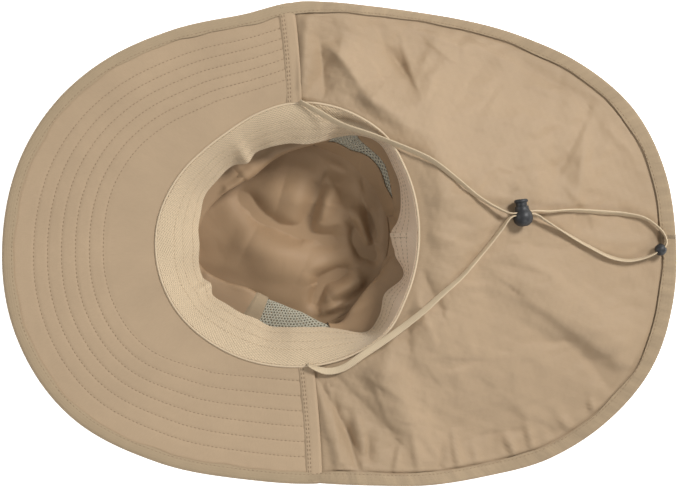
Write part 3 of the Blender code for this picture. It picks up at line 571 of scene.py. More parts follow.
def randomCreases(made, startOf, heightOf):
    # short sharp creases; startOf draws where one starts and says the way that it roughly runs
    random = np.random.default_rng(made["seed"])
    lines = []
    for i in range(made["count"]):
        start, way = startOf(random)
        way = math.radians(way + random.normal(0, made["scatter"]))
        end = start + random.uniform(*made["length"]) * np.array([math.cos(way), math.sin(way)])
        width = random.uniform(*made["width"])
        height = random.uniform(*made["height"]) * random.choice((-1, 1)) * heightOf(start, width)
        lines.append((start, end, width, height, random.uniform(-0.5, 0.5)))
    return lines


def flapStart(random):
    direction, share = random.uniform(*flapCreases["directions"]), random.uniform(*flapCreases["shares"])
    return smoothPoint(direction, share)[:2], direction


flapLines = foldLines(mainFolds, True)
creaseLines = randomCreases(flapCreases, flapStart, lambda start, width: width / flapCreases["usualWidth"])
fineLines = foldLines(smallFolds, True)
edgeLines = gatherLines()
cornerLines = foldLines(cornerFolds)


def ripple(x, y, scale, seed):
    # a soft wandering surface from a few crossed waves, between -1 and 1
    total = 0.0
    for i in range(6):
        turn = seed * 1.7 + i * 2.399
        wave = (x * math.cos(turn) + y * math.sin(turn)) * (1 + 0.37 * i) / scale
        total = total + np.sin(wave * circle + seed * 3.1 + i * i * 1.3 + 0.8 * np.sin(y / scale * 3 + i))
    return total / 6


def clothPoint(direction, across, detailed=False):
    spot = smoothPoint(direction, across)
    x, y = spot[..., 0], spot[..., 1]
    edge = 1 - bindingShare(direction) - across
    inner, outer = smooth((across - 0.04) / 0.14), smooth(edge / 0.1)
    onFlap = smooth(flapShare(direction) * 2 - 0.2)
    main = foldHeight(flapLines, x, y)
    spot[..., 2] += inner * outer * onFlap * main
    if not detailed:
        return spot
    nearEdge, nearSeam = smooth(edge / 0.03), smooth((across - 0.01) / 0.05)
    turned = np.abs(np.mod(direction + 180, 360) - 180)
    corner = smooth((turned - 58) / 10)
    # the main folds are shallower behind the head, deeper at the sides and shallower in the corners
    deeper = mix(-0.45, 0.15, smooth((turned - 32) / 22)) - corner * np.where(y > 0, 0.25, 0.85)
    fine = foldHeight(fineLines, x, y) * smooth(edge / 0.06) + foldHeight(edgeLines, x, y, 0.6)
    fine = fine * (1 - 0.6 * corner * (y > 0)) + deeper * inner * outer * main
    fine += foldHeight(creaseLines, x, y, 0.8) * (1 - 0.75 * corner)
    fine += foldHeight(cornerLines, x, y, 0.45, 1.5)
    rumple = 0.0007 * ripple(x, y, 0.034, 1.0) + 0.0003 * ripple(x, y, 0.013, 2.0)
    spot[..., 2] += nearEdge * nearSeam * onFlap * (fine + rumple)
    spot[..., 2] += onFlap * cloth["collar"] * bell(across - 0.15, 0.08) * smooth((72 - turned) / 20)
    past = pastJoins(joinDirection("leftJoin", across), joinDirection("rightJoin", across), direction)
    radius = mix(seamRadius(direction), edgeRadius(direction), across)
    offBinding = (edge - cloth["dipAt"]) * clothDepth(direction)
    spot[..., 2] -= cloth["dip"] * onFlap * bell(offBinding, cloth["bindingDip"])
    spot[..., 2] -= cloth["dip"] * nearEdge * bell(np.radians(past) * radius, cloth["hemDip"])
    return spot


def gridNormals(grid):
    return unit(np.cross(np.gradient(grid, axis=0), np.gradient(grid, axis=1)))


def pairs(along, across):
    # a thread coordinate for each column and row
    return np.stack(np.broadcast_arrays(along, across, 0.0), axis=-1).reshape(-1, 3)


def numbered(grid):
    return np.arange(grid[..., 0].size).reshape(grid.shape[:2])


def quads(index):
    # faces between the neighbours in a grid of vertex numbers
    return np.stack([index[:-1, :-1], index[1:, :-1], index[1:, 1:], index[:-1, 1:]], axis=-1).reshape(-1, 4)


def wrapped(index, axis):
    # the numbers with the first row or column again at the end, so that the grid closes on itself
    return np.concatenate([index, index.take([0], axis)], axis)


flipped = (0, 3, 2, 1)


def addMesh(name, verts, faces, tone, threads, node=None, sharp=None):
    mesh = bpy.data.meshes.new(name)
    mesh.from_pydata(np.asarray(verts).reshape(-1, 3).tolist(), [], [tuple(face) for face in faces])
    mesh.update()
    layer = mesh.attributes.new("threads", "FLOAT_VECTOR", "POINT")
    layer.data.foreach_set("vector", np.asarray(threads, dtype=np.float32).ravel())
    mesh.materials.append(tones[tone])
    mesh.shade_smooth()
    if sharp:
        mesh.set_sharp_from_angle(angle=math.radians(sharp))
    piece = addObject(name, mesh)
    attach(piece, "hat")
    if node:
        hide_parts(node)
    return piece


def shell(name, grid, thickness, tone, node=None, threads=None, sharp=None):
    # a closed cloth wall round a grid of middle points, rows by columns; thickness may vary over the grid
    normals = gridNormals(grid)
    half = np.broadcast_to(np.asarray(thickness, float), grid.shape[:2])[..., None] / 2
    index = numbered(grid)
    rim = np.concatenate([index[:-1, 0], index[-1, :-1], index[:0:-1, -1], index[0, :0:-1]])
    after, under = np.roll(rim, -1), index.size
    faces = np.concatenate([quads(index), quads(index)[:, flipped] + under,
                            np.stack([rim, rim + under, after + under, after], axis=-1)])
    if threads is None:
        down = np.linalg.norm(np.diff(grid, axis=0), axis=-1).mean(axis=1)
        threads = pairs(travelled(grid[len(grid) // 2]), np.concatenate([[0.0], np.cumsum(down)])[:, None])
    piece = addMesh(name, np.stack([grid + normals * half, grid - normals * half]), faces, tone,
                    np.concatenate([threads, threads]), node, sharp)
    return piece, normals


def stitchRow(path, normals, made):
    # short raised stitches along a path, each with its ends pulled into the cloth
    path, normals = np.asarray(path, float), np.asarray(normals, float)
    length, radius, sides = made["stitch"], made["thread"], 6
    along = travelled(path)
    count = max(1, int(along[-1] / made["spacing"]))
    middles = (np.arange(count) + 0.5) * along[-1] / count

    def at(values, where):
        return np.stack([np.interp(where, along, values[:, i]) for i in range(3)], axis=-1)

    centre, normal = at(path, middles), at(normals, middles)
    tangent = at(path, np.minimum(middles + length / 2, along[-1])) - at(path, np.maximum(middles - length / 2, 0))
    tangent = unit(tangent)
    normal = unit(normal - tangent * (normal * tangent).sum(axis=-1, keepdims=True))
    side = np.cross(tangent, normal)
    # each ring's place along the stitch, its thickness and how far it is raised
    rings = ((-0.34, 0.85, 0.1), (0.0, 1.0, 0.45), (0.34, 0.85, 0.1))
    tips = [centre + tangent * length * end - normal * radius * 0.7 for end in (-0.5, 0.5)]
    verts = [tips[0]]
    for place, thick, raised in rings:
        for turn in circle * np.arange(sides) / sides:
            outward = side * math.cos(turn) + normal * math.sin(turn)
            verts.append(centre + tangent * length * place + outward * radius * thick + normal * (radius * raised))
    verts = np.stack([*verts, tips[1]], axis=1)
    each = verts.shape[1]
    index = 1 + np.arange(each - 2).reshape(len(rings), sides)
    ends = np.concatenate([np.zeros((1, sides), int), index, np.full((1, sides), each - 1)])
    faces = quads(wrapped(ends, 1))[:, flipped]
    every = faces[None] + (np.arange(count) * each)[:, None, None]
    own = pairs(np.repeat(middles, each), np.tile(np.arange(each) * 0.0002, count))
    return verts.reshape(-1, 3), every.reshape(-1, 4), own


def stitches(name, rows, tone):
    # several rows of stitches joined into one piece
    verts, faces, threads = zip(*rows)
    bases = np.cumsum([0] + [len(points) for points in verts])
    faces = np.concatenate([quad + base for quad, base in zip(faces, bases)]).tolist()
    addMesh(name, np.concatenate(verts), [tuple(dict.fromkeys(face)) for face in faces], tone,
            np.concatenate(threads))


print("brim")
brimMake = {
    "columns": 300, "groove": 0.0006, "grooveWidth": 0.001, "stitch": 0.0019, "spacing": 0.0029, "thread": 0.00024,
    # by direction, the first row's distance from the edge and the distance between rows
    "rows": 6, "first": ((0, 0.016), (89, 0.015), (135, 0.019), (180, 0.021), (230, 0.0195), (277, 0.0178)),
    "step": ((0, 0.009), (89, 0.007), (135, 0.0082), (180, 0.0096), (230, 0.0102), (277, 0.0106)),
    "between": (0.0, 0.05, 0.11, 0.18, 0.34, 0.5, 0.66, 0.82, 0.89, 0.95),
    "waves": ((0.0006, 0.11, 5.0), (0.00012, 0.02, 6.0)),
}


def brimRowShare(direction, row):
    first, step = (around(brimMake[name], direction) for name in ("first", "step"))
    return 1 - (first + step * row) / clothDepth(direction)


def brimAcross(direction):
    # the rows of the brim's grid, and for each the line of stitching that it lies on or between
    lines = [np.zeros_like(direction)]
    lines += [brimRowShare(direction, row) for row in range(brimMake["rows"] - 1, -1, -1)]
    lines += [1 - bindingShare(direction) * 1.08, np.ones_like(direction)]
    rows, marks = [], []
    for k, (low, high) in enumerate(zip(lines, lines[1:])):
        for share in brimMake["between"]:
            rows.append(mix(low, high, share))
            marks.append(k + share)
    return np.array([*rows, lines[-1]]), np.array([*marks, len(lines) - 1.0])


def makeBrim():
    share = np.linspace(0, 1, brimMake["columns"] + 1)
    across, marks = brimAcross(mix(cloth["leftJoin"][1], cloth["rightJoin"][1], share))
    direction = mix(joinDirection("leftJoin", across), joinDirection("rightJoin", across), share[None, :])
    grid = clothPoint(direction, across)
    x, y = grid[..., 0], grid[..., 1]
    calm = smooth(across / 0.1) * smooth((1 - across) / 0.1)
    for height, scale, seed in brimMake["waves"]:
        grid[..., 2] += calm * height * ripple(x, y, scale, seed)
    thickness = np.full(grid.shape[:2], cloth["brim"])
    for row in range(brimMake["rows"]):
        off = np.abs(across - brimRowShare(direction, row)) * clothDepth(direction)
        thickness -= brimMake["groove"] * bell(off, brimMake["grooveWidth"])
    piece, normals = shell("brim_cloth", grid, thickness, "brim", "brim", sharp=60)
    rows = []
    for mark in range(1, brimMake["rows"] + 1):
        i = int(np.argmin(np.abs(marks - mark)))
        for side in (1, -1):
            half = side * (thickness[i][:, None] / 2)
            rows.append(stitchRow(grid[i] + normals[i] * half, normals[i] * side, brimMake))
    stitches("brim_stitching", rows, "thread")
    return piece


hemMake = {
    "inside": 0.0088, "over": 0.0022, "thickness": 0.001, "rows": 100, "columns": 22, "lines": (0.2, 0.35),
    "groove": 0.0004, "grooveWidth": 0.0007, "roll": 0.86, "ease": 0.16,
    "stitch": 0.0021, "spacing": 0.0029, "thread": 0.00026,
}


def makeHem(name, join, way):
    # the folded edge at each end of the brim, which laps over the flap; way is the turn that leads onto the flap
    across = np.linspace(0.004, 0.995, hemMake["rows"])[:, None]
    share = np.linspace(0, 1, hemMake["columns"])[None, :]
    direction = joinDirection(join, across)
    radius = mix(seamRadius(direction), edgeRadius(direction), across)
    turned = direction + np.degrees(mix(-hemMake["inside"], hemMake["over"], share) * way / radius)
    roll = np.clip((share - hemMake["roll"]) / (1 - hemMake["roll"]), 0, 1)
    level = cloth["brim"] / 2 + hemMake["thickness"] * (0.55 - 0.9 * roll ** 2)
    buried = cloth["brim"] / 2 - hemMake["thickness"] * 0.62
    thickness = np.full(turned.shape, hemMake["thickness"])
    for line in hemMake["lines"]:
        off = (share - line) * (hemMake["inside"] + hemMake["over"])
        thickness = thickness - hemMake["groove"] * bell(off, hemMake["grooveWidth"])
    rows, pieces = [], []
    for face, side in ((1, "upper"), (-1, "lower")):
        grid = clothPoint(turned, np.broadcast_to(across, turned.shape))
        grid[..., 2] += face * mix(buried, level, smooth(share / hemMake["ease"]))
        order = slice(None, None, way * face)
        piece = shell(f"{name}_{side}", grid[:, order], thickness[:, order], "brim", sharp=60)[0]
        pieces.append(piece)
        for line in hemMake["lines"]:
            path = grid[:, round(line * (hemMake["columns"] - 1))] + [0, 0, face * hemMake["thickness"] * 0.32]
            rows.append(stitchRow(path, np.tile([0.0, 0.0, float(face)], (len(path), 1)), hemMake))
    stitches(f"{name}_stitching", rows, "hemThread")
    return pieces


brimPiece = makeBrim()
hems = makeHem("left_hem", "leftJoin", -1) + makeHem("right_hem", "rightJoin", 1)

print("flap")
flapMake = {"columns": 330, "rows": 140, "thickness": 0.001}


def makeFlap():
    share = np.linspace(0, 1, flapMake["columns"] + 1)[None, :]
    across = np.linspace(0, 1, flapMake["rows"] + 1)[:, None]
    apart = math.degrees(gap / head["radius"])
    start, end = joinDirection("rightJoin", across), joinDirection("leftJoin", across) + 360
    direction = mix(start + apart, end - apart, share)
    grid = clothPoint(direction, np.broadcast_to(across, direction.shape), detailed=True)
    piece = shell("flap_cloth", grid, flapMake["thickness"], "flap", "neck_flap", sharp=75)[0]
    return piece


flapPiece = makeFlap()

print("edge binding")
bindingMake = {
    "columns": 640, "round": 9, "row": 0.0011, "puff": 0.25, "inset": 0.0013,
    # how far in from the edge the tape's rows lie, as shares of its width
    "upper": (-1.0, -0.82, -0.45, -0.12), "lower": (-0.12, -0.5, -1.0),
    "stitch": 0.0022, "spacing": 0.003, "thread": 0.00027,
}


def makeBinding():
    # the tape's outer and inner skin in section, from its top inner edge round the cut edge to the bottom one
    directions = np.linspace(0, 360, bindingMake["columns"], endpoint=False)
    edge = clothPoint(directions, np.ones_like(directions))
    inner = clothPoint(directions, 1 - bindingShare(directions))
    width = np.linalg.norm(edge - inner, axis=-1)
    outward = unit(edge - inner)
    upward = np.cross(outward, polar(directions + 90, 1.0, 0.0))
    thick = mix(cloth["brim"], cloth["flap"] * 0.7, flapShare(directions)) / 2 + gap * 0.5
    wall = binding["wall"]
    waver = 1 + 0.05 * np.sin(np.radians(directions) * 23) + 0.04 * np.sin(np.radians(directions) * 41 + 1)
    outer, inside = [], []

    def addRow(place, up, wallUp, wallOut=0.0):
        inside.append(place + upward * up[:, None])
        outer.append(place + upward * (up + wallUp)[:, None] + outward * wallOut)

    for part in bindingMake["upper"]:
        puff = 1 + bindingMake["puff"] * math.sin(math.pi * (part + 1))
        addRow(edge + outward * (part * width * waver)[:, None], thick * puff, wall)
    for turn in math.pi * np.arange(1, bindingMake["round"]) / bindingMake["round"]:
        lift, push = math.cos(turn), math.sin(turn)
        addRow(edge + outward * (gap * push), thick * lift, wall * lift, wall * push)
    for part in bindingMake["lower"]:
        addRow(edge + outward * (part * width)[:, None], -thick, -wall)
    section = np.array(outer + inside[::-1])
    threads = pairs(travelled(edge), np.arange(len(section))[:, None] * bindingMake["row"])
    faces = quads(wrapped(wrapped(numbered(section), 0), 1))
    piece = addMesh("binding_tape", section, faces, "binding", threads, "edge_binding", sharp=55)
    rows = []
    for side in (1, -1):
        path = inner + outward * bindingMake["inset"] + upward * ((thick * 1.02 + wall) * side)[:, None]
        rows.append(stitchRow(wrapped(path, 0), wrapped(upward, 0) * side, bindingMake))
    stitches("binding_stitching", rows, "thread")
    return piece


bindingPiece = makeBinding()

print("crown")
# creases of the crown seen from inside, then folds of its wall near the band: x and y to x and y, width and
# height in mm, and skew
crownFolds = (
    (-34, 29, -18, 11, 7.5, -6.6, 0), (-18, 11, 2, 3, 7.5, -6.6, 0.2), (2, 3, 28, -2, 7, -5.72, 0.2),
    (28, -2, 55.7, -1.5, 7, -3.52, 0), (23, 34, 13.5, 6, 7, -9.24, 0.3), (30, 36, 24, 10, 8, 6.6, 0),
    (47, 7, 52, -9, 5, -8.8, 0.3), (52, -9, 64, -17, 5, -7.7, 0), (56, 16, 61, -2, 5, -8.8, 0.3),
    (51, 15, 56, -4, 5, 7.92, 0), (40, -27, 24, -33, 5, -9.24, 0.3), (24, -33, 19, -48, 5, -7.92, 0),
    (48, -33, 30, -44, 6.5, 7.48, 0), (26, -54, 38, -50, 4, 4.84, 0.2), (40, 20, 46, -6, 8, 5.72, 0),
    (-28, -5, 10, -24, 17, 9.9, 0), (-5, 30, 20, 23, 14, 9.24, 0),
)
wallFolds = (
    (-61, 7, -43, 33, 3, 3, 0.3), (-43, 33, -12, 56, 3, 2.6, 0.3), (-57, 8, -40, 30, 2.6, -3, 0),
    (-40, 30, -10, 52, 2.6, -2.2, 0), (-57, 14, -57, -28, 2.6, 2.4, 0.2), (-48, 22, -26, 48, 2.2, 1.6, 0.2),
    (-56, -25, -26, -40, 2.6, 2, 0.2), (-10, 60, 20, 63, 3, 2, 0.2), (30, 56, 56, 46, 3, 2.2, 0.2),
    (62, 35, 72, 10, 3, 2, 0.2), (42, -56, 56, -48, 3, 1.8, 0.2), (60, -30, 72, -20, 3.4, -1.8, 0.2),
)
crownCreases = {
    "count": 90, "seed": 5, "length": (0.01, 0.032), "width": (0.0018, 0.005), "height": (0.0005, 0.0016),
    "scatter": 50, "way": 150, "reach": 0.066, "thickFrom": 0.01, "thickOver": 0.04,
}


def crownStart(random):
    radius = crownCreases["reach"] * math.sqrt(random.uniform(0.02, 1))
    turn = random.uniform(0, circle)
    return np.array([radius * math.cos(turn), radius * math.sin(turn)]), crownCreases["way"]


def crownCreaseShare(start, width):
    # thicker towards the back of the crown
    return 0.1 + 0.9 * smooth((start[0] - crownCreases["thickFrom"]) / crownCreases["thickOver"])


crownLines = foldLines(crownFolds)
wallLines = foldLines(wallFolds)
crumpleLines = randomCreases(crownCreases, crownStart, crownCreaseShare)
tipMake = {"columns": 140, "spare": 0.004, "thickness": 0.0011, "lift": 0.0034, "edgeLift": 0.0036, "curl": 0.0006}
cadBand = {"width": 0.032, "thickness": 0.0012, "proud": 0.0015, "bow": 0.003}


def tipRadius(direction):
    length, width = head["tipLength"] / 2, head["tipWidth"] / 2
    turn = np.radians(direction)
    return length * width / np.hypot(width * np.cos(turn), length * np.sin(turn))


def crownRelief(x, y):
    return foldHeight(crownLines, x, y, 0.4) + foldHeight(crumpleLines, x, y, 0.8)


def makeTip():
    # a square grid drawn out to an oval, so that no point of it is crowded
    steps = np.linspace(-1, 1, tipMake["columns"])
    a, b = np.meshgrid(steps, -steps)
    x = a * np.sqrt(1 - b * b / 2) * (head["tipLength"] / 2 + tipMake["spare"])
    y = b * np.sqrt(1 - a * a / 2) * (head["tipWidth"] / 2 + tipMake["spare"])
    share = np.hypot(x / head["tipLength"], y / head["tipWidth"]) * 2
    direction = np.degrees(np.arctan2(y, x))
    seen = headRadius(direction) * around(head["crest"], direction) - tipRadius(direction)
    curl = smooth((seen - 0.002) / 0.006) * tipMake["curl"] * np.clip((share - 0.9) / 0.15, 0, 1) ** 2
    lift = tipMake["lift"] + crownRelief(x, y) + 0.0008 * ripple(x, y, 0.05, 3.0)
    lift = mix(tipMake["edgeLift"], lift, smooth((1.045 - share) / 0.12)) + curl
    grid = np.stack([x, y, head["tip"] / 2 + np.maximum(lift, 0.0)], axis=-1)
    piece = shell("crown_top_cloth", grid, tipMake["thickness"], "inner", "crown_tip",
                  threads=pairs(x, y))[0]


def wallProfile(direction):
    # the wall's rows at each direction: arrays of radius and height
    foot = head["rim"] - cadBand["width"]
    seam = headRadius(direction) + head["wallInset"] + head["wall"] / 2
    crest = headRadius(direction) * (around(head["crest"], direction) - around(head["tuck"], direction))
    tip = tipRadius(direction) + head["wall"] / 2 + gap
    half = mix(cloth["brim"], cloth["flap"], np.minimum(1.0, flapShare(direction) * 4)) / 2
    top = head["rim"] - half - head["seamGap"]
    radii, heights = [], []
    for level, inward, outward, bulge in head["profile"]:
        radii.append(mix(mix(seam, crest, inward), tip, outward) + head["wallBulge"] * bulge)
        heights.append((foot * level if level <= 1 else mix(foot, top, level - 1)) + 0.0 * direction)
    return np.array(radii), np.array(heights)


wallMake = {
    "sag": 0.001, "underAt": 4.05, "underReach": 0.62, "thickness": 0.85, "sunk": 0.0003, "slide": 3.0,
    # how far the wall tucks back under its inner fold, by direction
    "under": ((0, 0.003), (17, 0.0), (60, 0.0), (90, 0.004), (130, 0.006), (180, 0.006), (230, 0.005), (280, 0.006),
              (300, 0.012), (325, 0.013), (345, 0.009)),
}
lastPlace = len(head["profile"]) - 1


def wallPoint(direction, place):
    # place runs from 0 at the seam to the last row of the profile at the tip, smoothly through each row
    direction, place = np.broadcast_arrays(direction, place)
    here = np.clip(np.floor(place).astype(int), 0, lastPlace - 1)
    picks = [np.clip(here + step, 0, lastPlace)[None] for step in (-1, 0, 1, 2)]
    radius, height = (through(*(np.take_along_axis(values, pick, axis=0)[0] for pick in picks), place - here)
                      for values in wallProfile(direction))
    spot = polar(direction, radius, height)
    x, y = spot[..., 0], spot[..., 1]
    loose = smooth((place - 0.3) / 0.8) * smooth((lastPlace - place) / 0.8)
    sag = loose * wallMake["sag"] * ripple(direction * 0.0016, place * 0.006, 0.1, 7.0)
    under = np.maximum(0.0, around(wallMake["under"], direction)) * bell(place - wallMake["underAt"],
                                                                         wallMake["underReach"])
    spot += polar(direction, sag + under, 0.0)
    high = smooth((place - 0.9) / 0.6) * smooth((4.2 - place) / 0.8)
    spot[..., 2] += high * foldHeight(wallLines, x, y, 0.4)
    low = smooth((place - 3.4) / 1.2) * smooth((lastPlace - place) / 0.6)
    spot[..., 2] += np.maximum(0.0, low * crownRelief(x, y))
    return spot


def slide(pair, off=0.0):
    # a seam's direction, which moves from its value at the top to its value at the inner fold
    return lambda place: mix(pair[0] + off, pair[1] + off, smooth(place / wallMake["slide"]))


def flat(value):
    return lambda direction: value + 0.0 * direction


def curve(rows):
    return lambda direction: around(rows, direction)


def wallPatch(name, start, end, top, bottom, columns, rows, inward=0.0, tone="inner", sunk=(0.0, 0.0), node=None):
    # start and end are directions for each place, top and bottom places for each direction; sunk says over how
    # many degrees each end eases into the panel beside it
    share = np.linspace(0, 1, columns + 1)[None, :]
    down = np.linspace(0, 1, rows + 1)[:, None]
    rough = mix(start(0.0), end(0.0), share)
    place = mix(top(rough), bottom(rough), down)
    direction = mix(start(place), end(place), share)
    grid = wallPoint(direction, place)
    ease = np.ones(direction.shape)
    for degrees, past in zip(sunk, (direction - start(place), end(place) - direction)):
        if degrees:
            ease = ease * smooth(past / degrees)
    grid = grid - gridNormals(grid) * ((inward + wallMake["sunk"]) * ease - wallMake["sunk"])[..., None]
    return shell(name, grid, head["wall"] * wallMake["thickness"], tone, node)[0]


# where the net is sewn in: the ends' directions at the seam and at the inner fold; and the lining's edges over
# it, as places down the wall, so that net shows only between upper and lower
vents = {
    "right": ((231.5, 245.0), (343.0, 343.0)), "left": ((17.0, 17.0), (129.0, 124.0)),
    "cloth": (291.0, 294.0), "hem": (236.1, 252.36), "lining": 0.0011, "lap": 7.0,
    "upper": ((10, 3.3), (19, 3.25), (36, 3.2), (47, 3.3), (54, 3.05), (60, 2.6), (66, 2.6), (71, 3.6),
              (90, 5.2), (131, 5.2), (240, 3.3)),
    "lower": ((10, 3.3), (19, 3.3), (24, 3.7), (36, 3.78), (47, 3.9), (54, 4.1), (60, 3.85), (66, 3.55),
              (71, 3.7), (90, 5.2), (131, 5.2), (240, 3.3)),
}
netMake = {"pitch": 0.0023, "hole": 0.55, "wall": 0.0005, "radius": 0.06, "rowShare": 0.82,
           "lines": 80, "steps": 90}
seamLine, topLine, footLine, tipLine = (flat(place) for place in (0.0, 0.3, 5.2, lastPlace))


def makeWalls():
    (rightStart, rightEnd), leftEnd = vents["right"], vents["left"][1]
    inner, lap = vents["lining"], vents["lap"]
    front = wallPatch("crown_front_cloth", slide(leftEnd), slide(rightStart), seamLine, tipLine, 110, 64,
                      node="crown_wall_front")
    back = wallPatch("crown_back_cloth", slide(rightEnd), flat(377.0), seamLine, tipLine, 50, 64,
                     node="crown_wall_back")
    strips = (("yoke", seamLine, topLine, 6), ("foot", footLine, tipLine, 12))
    edges = {side: [wallPatch(f"{side}_vent_{name}", *(slide(pair) for pair in vents[side]), top, bottom, 120, rows)
                    for name, top, bottom, rows in strips] for side in ("left", "right")}
    upper = wallPatch("left_lining_upper", flat(10.5), slide(leftEnd, lap), topLine, curve(vents["upper"]), 150, 44,
                      inner, sunk=(6.0, 6.0))
    lower = wallPatch("left_lining_lower", flat(10.5), flat(74.0), curve(vents["lower"]), footLine, 80, 30,
                      inner, sunk=(5.0, 0.0))
    cover = wallPatch("right_lining", slide(vents["cloth"]), slide(rightEnd, lap), topLine, footLine, 90, 70,
                      inner, sunk=(0.0, 6.0))
    hem = wallPatch("right_vent_hem", slide(rightStart, -5.0), slide(vents["hem"]), topLine, flat(3.6), 26, 50,
                    inner * 0.9, "binding", sunk=(4.0, 0.0))
    return edges


def honeycomb(arc, deepest):
    # the net laid flat: cells of six quads round a six-sided hole, as far down as deepest says for each line
    pitch, rowStep = netMake["pitch"], netMake["pitch"] * netMake["rowShare"]
    reach, squeeze = pitch / math.sqrt(3), netMake["rowShare"] / 0.866
    shared, spots, faces = {}, [], []

    def corner(u, v):
        key = (round(u * 12 / pitch), round(v * 12 / pitch))
        if key not in shared:
            shared[key] = len(spots)
            spots.append((u, v))
        return shared[key]

    for j in range(int(deepest.max() / rowStep) + 1):
        for i in range(int(arc / pitch) + 1):
            u, v = (i + 0.5 * (j % 2)) * pitch, j * rowStep
            if u > arc or v > deepest[min(len(deepest) - 1, int(u / arc * (len(deepest) - 1)))]:
                continue
            turns = [math.radians(60 * k) for k in range(6)]
            ring = [(u + reach * math.sin(turn), v + squeeze * reach * math.cos(turn)) for turn in turns]
            outer = [corner(*spot) for spot in ring]
            inner = [len(spots) + k for k in range(6)]
            spots += [(mix(u, a, netMake["hole"]), mix(v, b, netMake["hole"])) for a, b in ring]
            faces += [(outer[k - 1], outer[k], inner[k], inner[k - 1]) for k in range(6)]
    return np.array(spots), faces


def makeNet(side):
    # the honeycomb laid on the wall by the cloth's own length
    start, end = (slide(pair) for pair in vents[side])
    arc = netMake["radius"] * math.radians(end(1.0) - start(1.0))
    places = np.linspace(topLine(0.0), footLine(0.0), netMake["steps"])[:, None]
    share = np.linspace(0, 1, netMake["lines"])[None, :]
    lines = wallPoint(mix(start(places), end(places), share), places)
    steps = np.linalg.norm(np.diff(lines, axis=0), axis=-1)
    lengths = np.concatenate([np.zeros((1, steps.shape[1])), np.cumsum(steps, axis=0)])
    spots, faces = honeycomb(arc, lengths[-1])
    last = netMake["lines"] - 1
    across = np.clip(spots[:, 0] / arc, 0, 1)
    here = np.clip((across * last).astype(int), 0, last - 1)
    place = np.zeros(len(spots))
    for k in range(last):
        mine = here == k
        low, high = (np.interp(spots[mine, 1], lengths[:, n], places[:, 0]) for n in (k, k + 1))
        place[mine] = mix(low, high, across[mine] * last - k)
    points = wallPoint(mix(start(place), end(place), across)[None, :], place[None, :])[0]
    piece = addMesh(f"{side}_vent_net", points, faces, "net", pairs(*spots.T), f"mesh_panel_{side}")
    wall = piece.modifiers.new("thickness", "SOLIDIFY")
    wall.thickness = netMake["wall"]
    wall.offset = 0.0


makeTip()
ventEdges = makeWalls()
for side in ("left", "right"):
    makeNet(side)

print("sweatband")
bandMake = {
    "columns": 420, "rows": 34, "thickness": 0.0011, "stitch": 0.0021, "spacing": 0.0028, "thread": 0.00022,
    "lines": (0.4, 0.63, 0.85), "groove": 0.0004, "grooveWidth": 0.0009,
    "seam": -3.5, "lap": 5.0, "lapRise": 0.0014, "lapRow": 12, "lapColumn": -4, "sway": 0.0004,
    "lean": ((0, 0.5), (15, 0.27), (30, 0.18), (45, 0.16), (55, 0.3), (72, 0.8), (90, 0.83), (115, 0.66),
             (126, 0.61), (157, 0.68), (188, 0.9), (211, 0.76), (238, 0.85), (258, 0.79), (280, 0.83), (300, 0.55),
             (309, 0.24), (318, 0.3), (327, 0.42), (342, 0.17), (350, 0.4)),
    # direction, how far round it reaches, how far the band's inner edge is pushed in there
    "kinks": ((119.0, 5.0, 0.0035), (212.5, 4.0, 0.0045), (2.0, 3.0, 0.0022), (-12.0, 4.0, 0.0016),
              (100.0, 7.0, -0.0012), (170.0, 9.0, 0.001), (250.0, 8.0, 0.0012), (272.0, 6.0, -0.001)),
}
pipingMake = {"columns": 420, "sides": 10, "radius": 0.00085, "out": 0.0006, "up": 0.0002}


def bandPoint(direction, share):
    lean = np.clip(around(bandMake["lean"], direction), 0.0, 0.95)
    width = cadBand["width"]
    radius = headRadius(direction) + gap - cadBand["thickness"] / 2 - width * lean * share
    bow = cadBand["bow"] * lean * np.sin(math.pi * share)
    height = head["rim"] + cadBand["proud"] - width * np.sqrt(1 - lean * lean) * share + bow
    for where, reach, push in bandMake["kinks"]:
        off = (np.mod(direction - where + 180, 360) - 180) / reach
        bend = np.exp(-off * off) * share ** 1.5
        radius = radius - push * bend
        height = height + abs(push) * 0.6 * bend * np.cos(off * 2.5)
    return polar(direction, radius + bandMake["sway"] * np.sin(np.radians(direction) * 17) * share, height)


def makeBand():
    start, lap = bandMake["seam"], bandMake["lap"]
    direction = np.linspace(start, start + 360 + lap, bandMake["columns"])[None, :]
    share = np.linspace(0, 1, bandMake["rows"] + 1)[:, None]
    grid = bandPoint(np.broadcast_to(direction, (len(share), direction.shape[1])), share)
    # the lap is thin beside the piping and rises over the layer below it
    raised = smooth((share - 0.02) / 0.75)
    over = smooth((direction - start - 360 + lap) / lap) * raised
    grid -= gridNormals(grid) * (bandMake["lapRise"] * over)[..., None]
    thickness = bandMake["thickness"] * np.where(direction > start + 360, mix(0.25, 1.0, raised), 1.0)
    for line in bandMake["lines"]:
        off = (share - line) * cadBand["width"]
        thickness = thickness - bandMake["groove"] * bell(off, bandMake["grooveWidth"])
    piece, normals = shell("sweatband_knit", grid, thickness, "band", "sweatband", sharp=60)
    half, rows = bandMake["thickness"] / 2, []
    for line in bandMake["lines"]:
        i = round(line * bandMake["rows"])
        ups = normals[i] * np.sign(normals[i][:, 2].mean())
        rows.append(stitchRow(grid[i] + ups * (half - 0.0001), ups, bandMake))
    column, lapRow = bandMake["lapColumn"], bandMake["lapRow"]
    ups = normals[:, column] * (1.0 if normals[bandMake["rows"] // 2, column, 2] > 0 else -1.0)
    rows.append(stitchRow((grid[:, column] + ups * half)[lapRow:], ups[lapRow:], bandMake))
    stitches("band_stitching", rows, "bandThread")


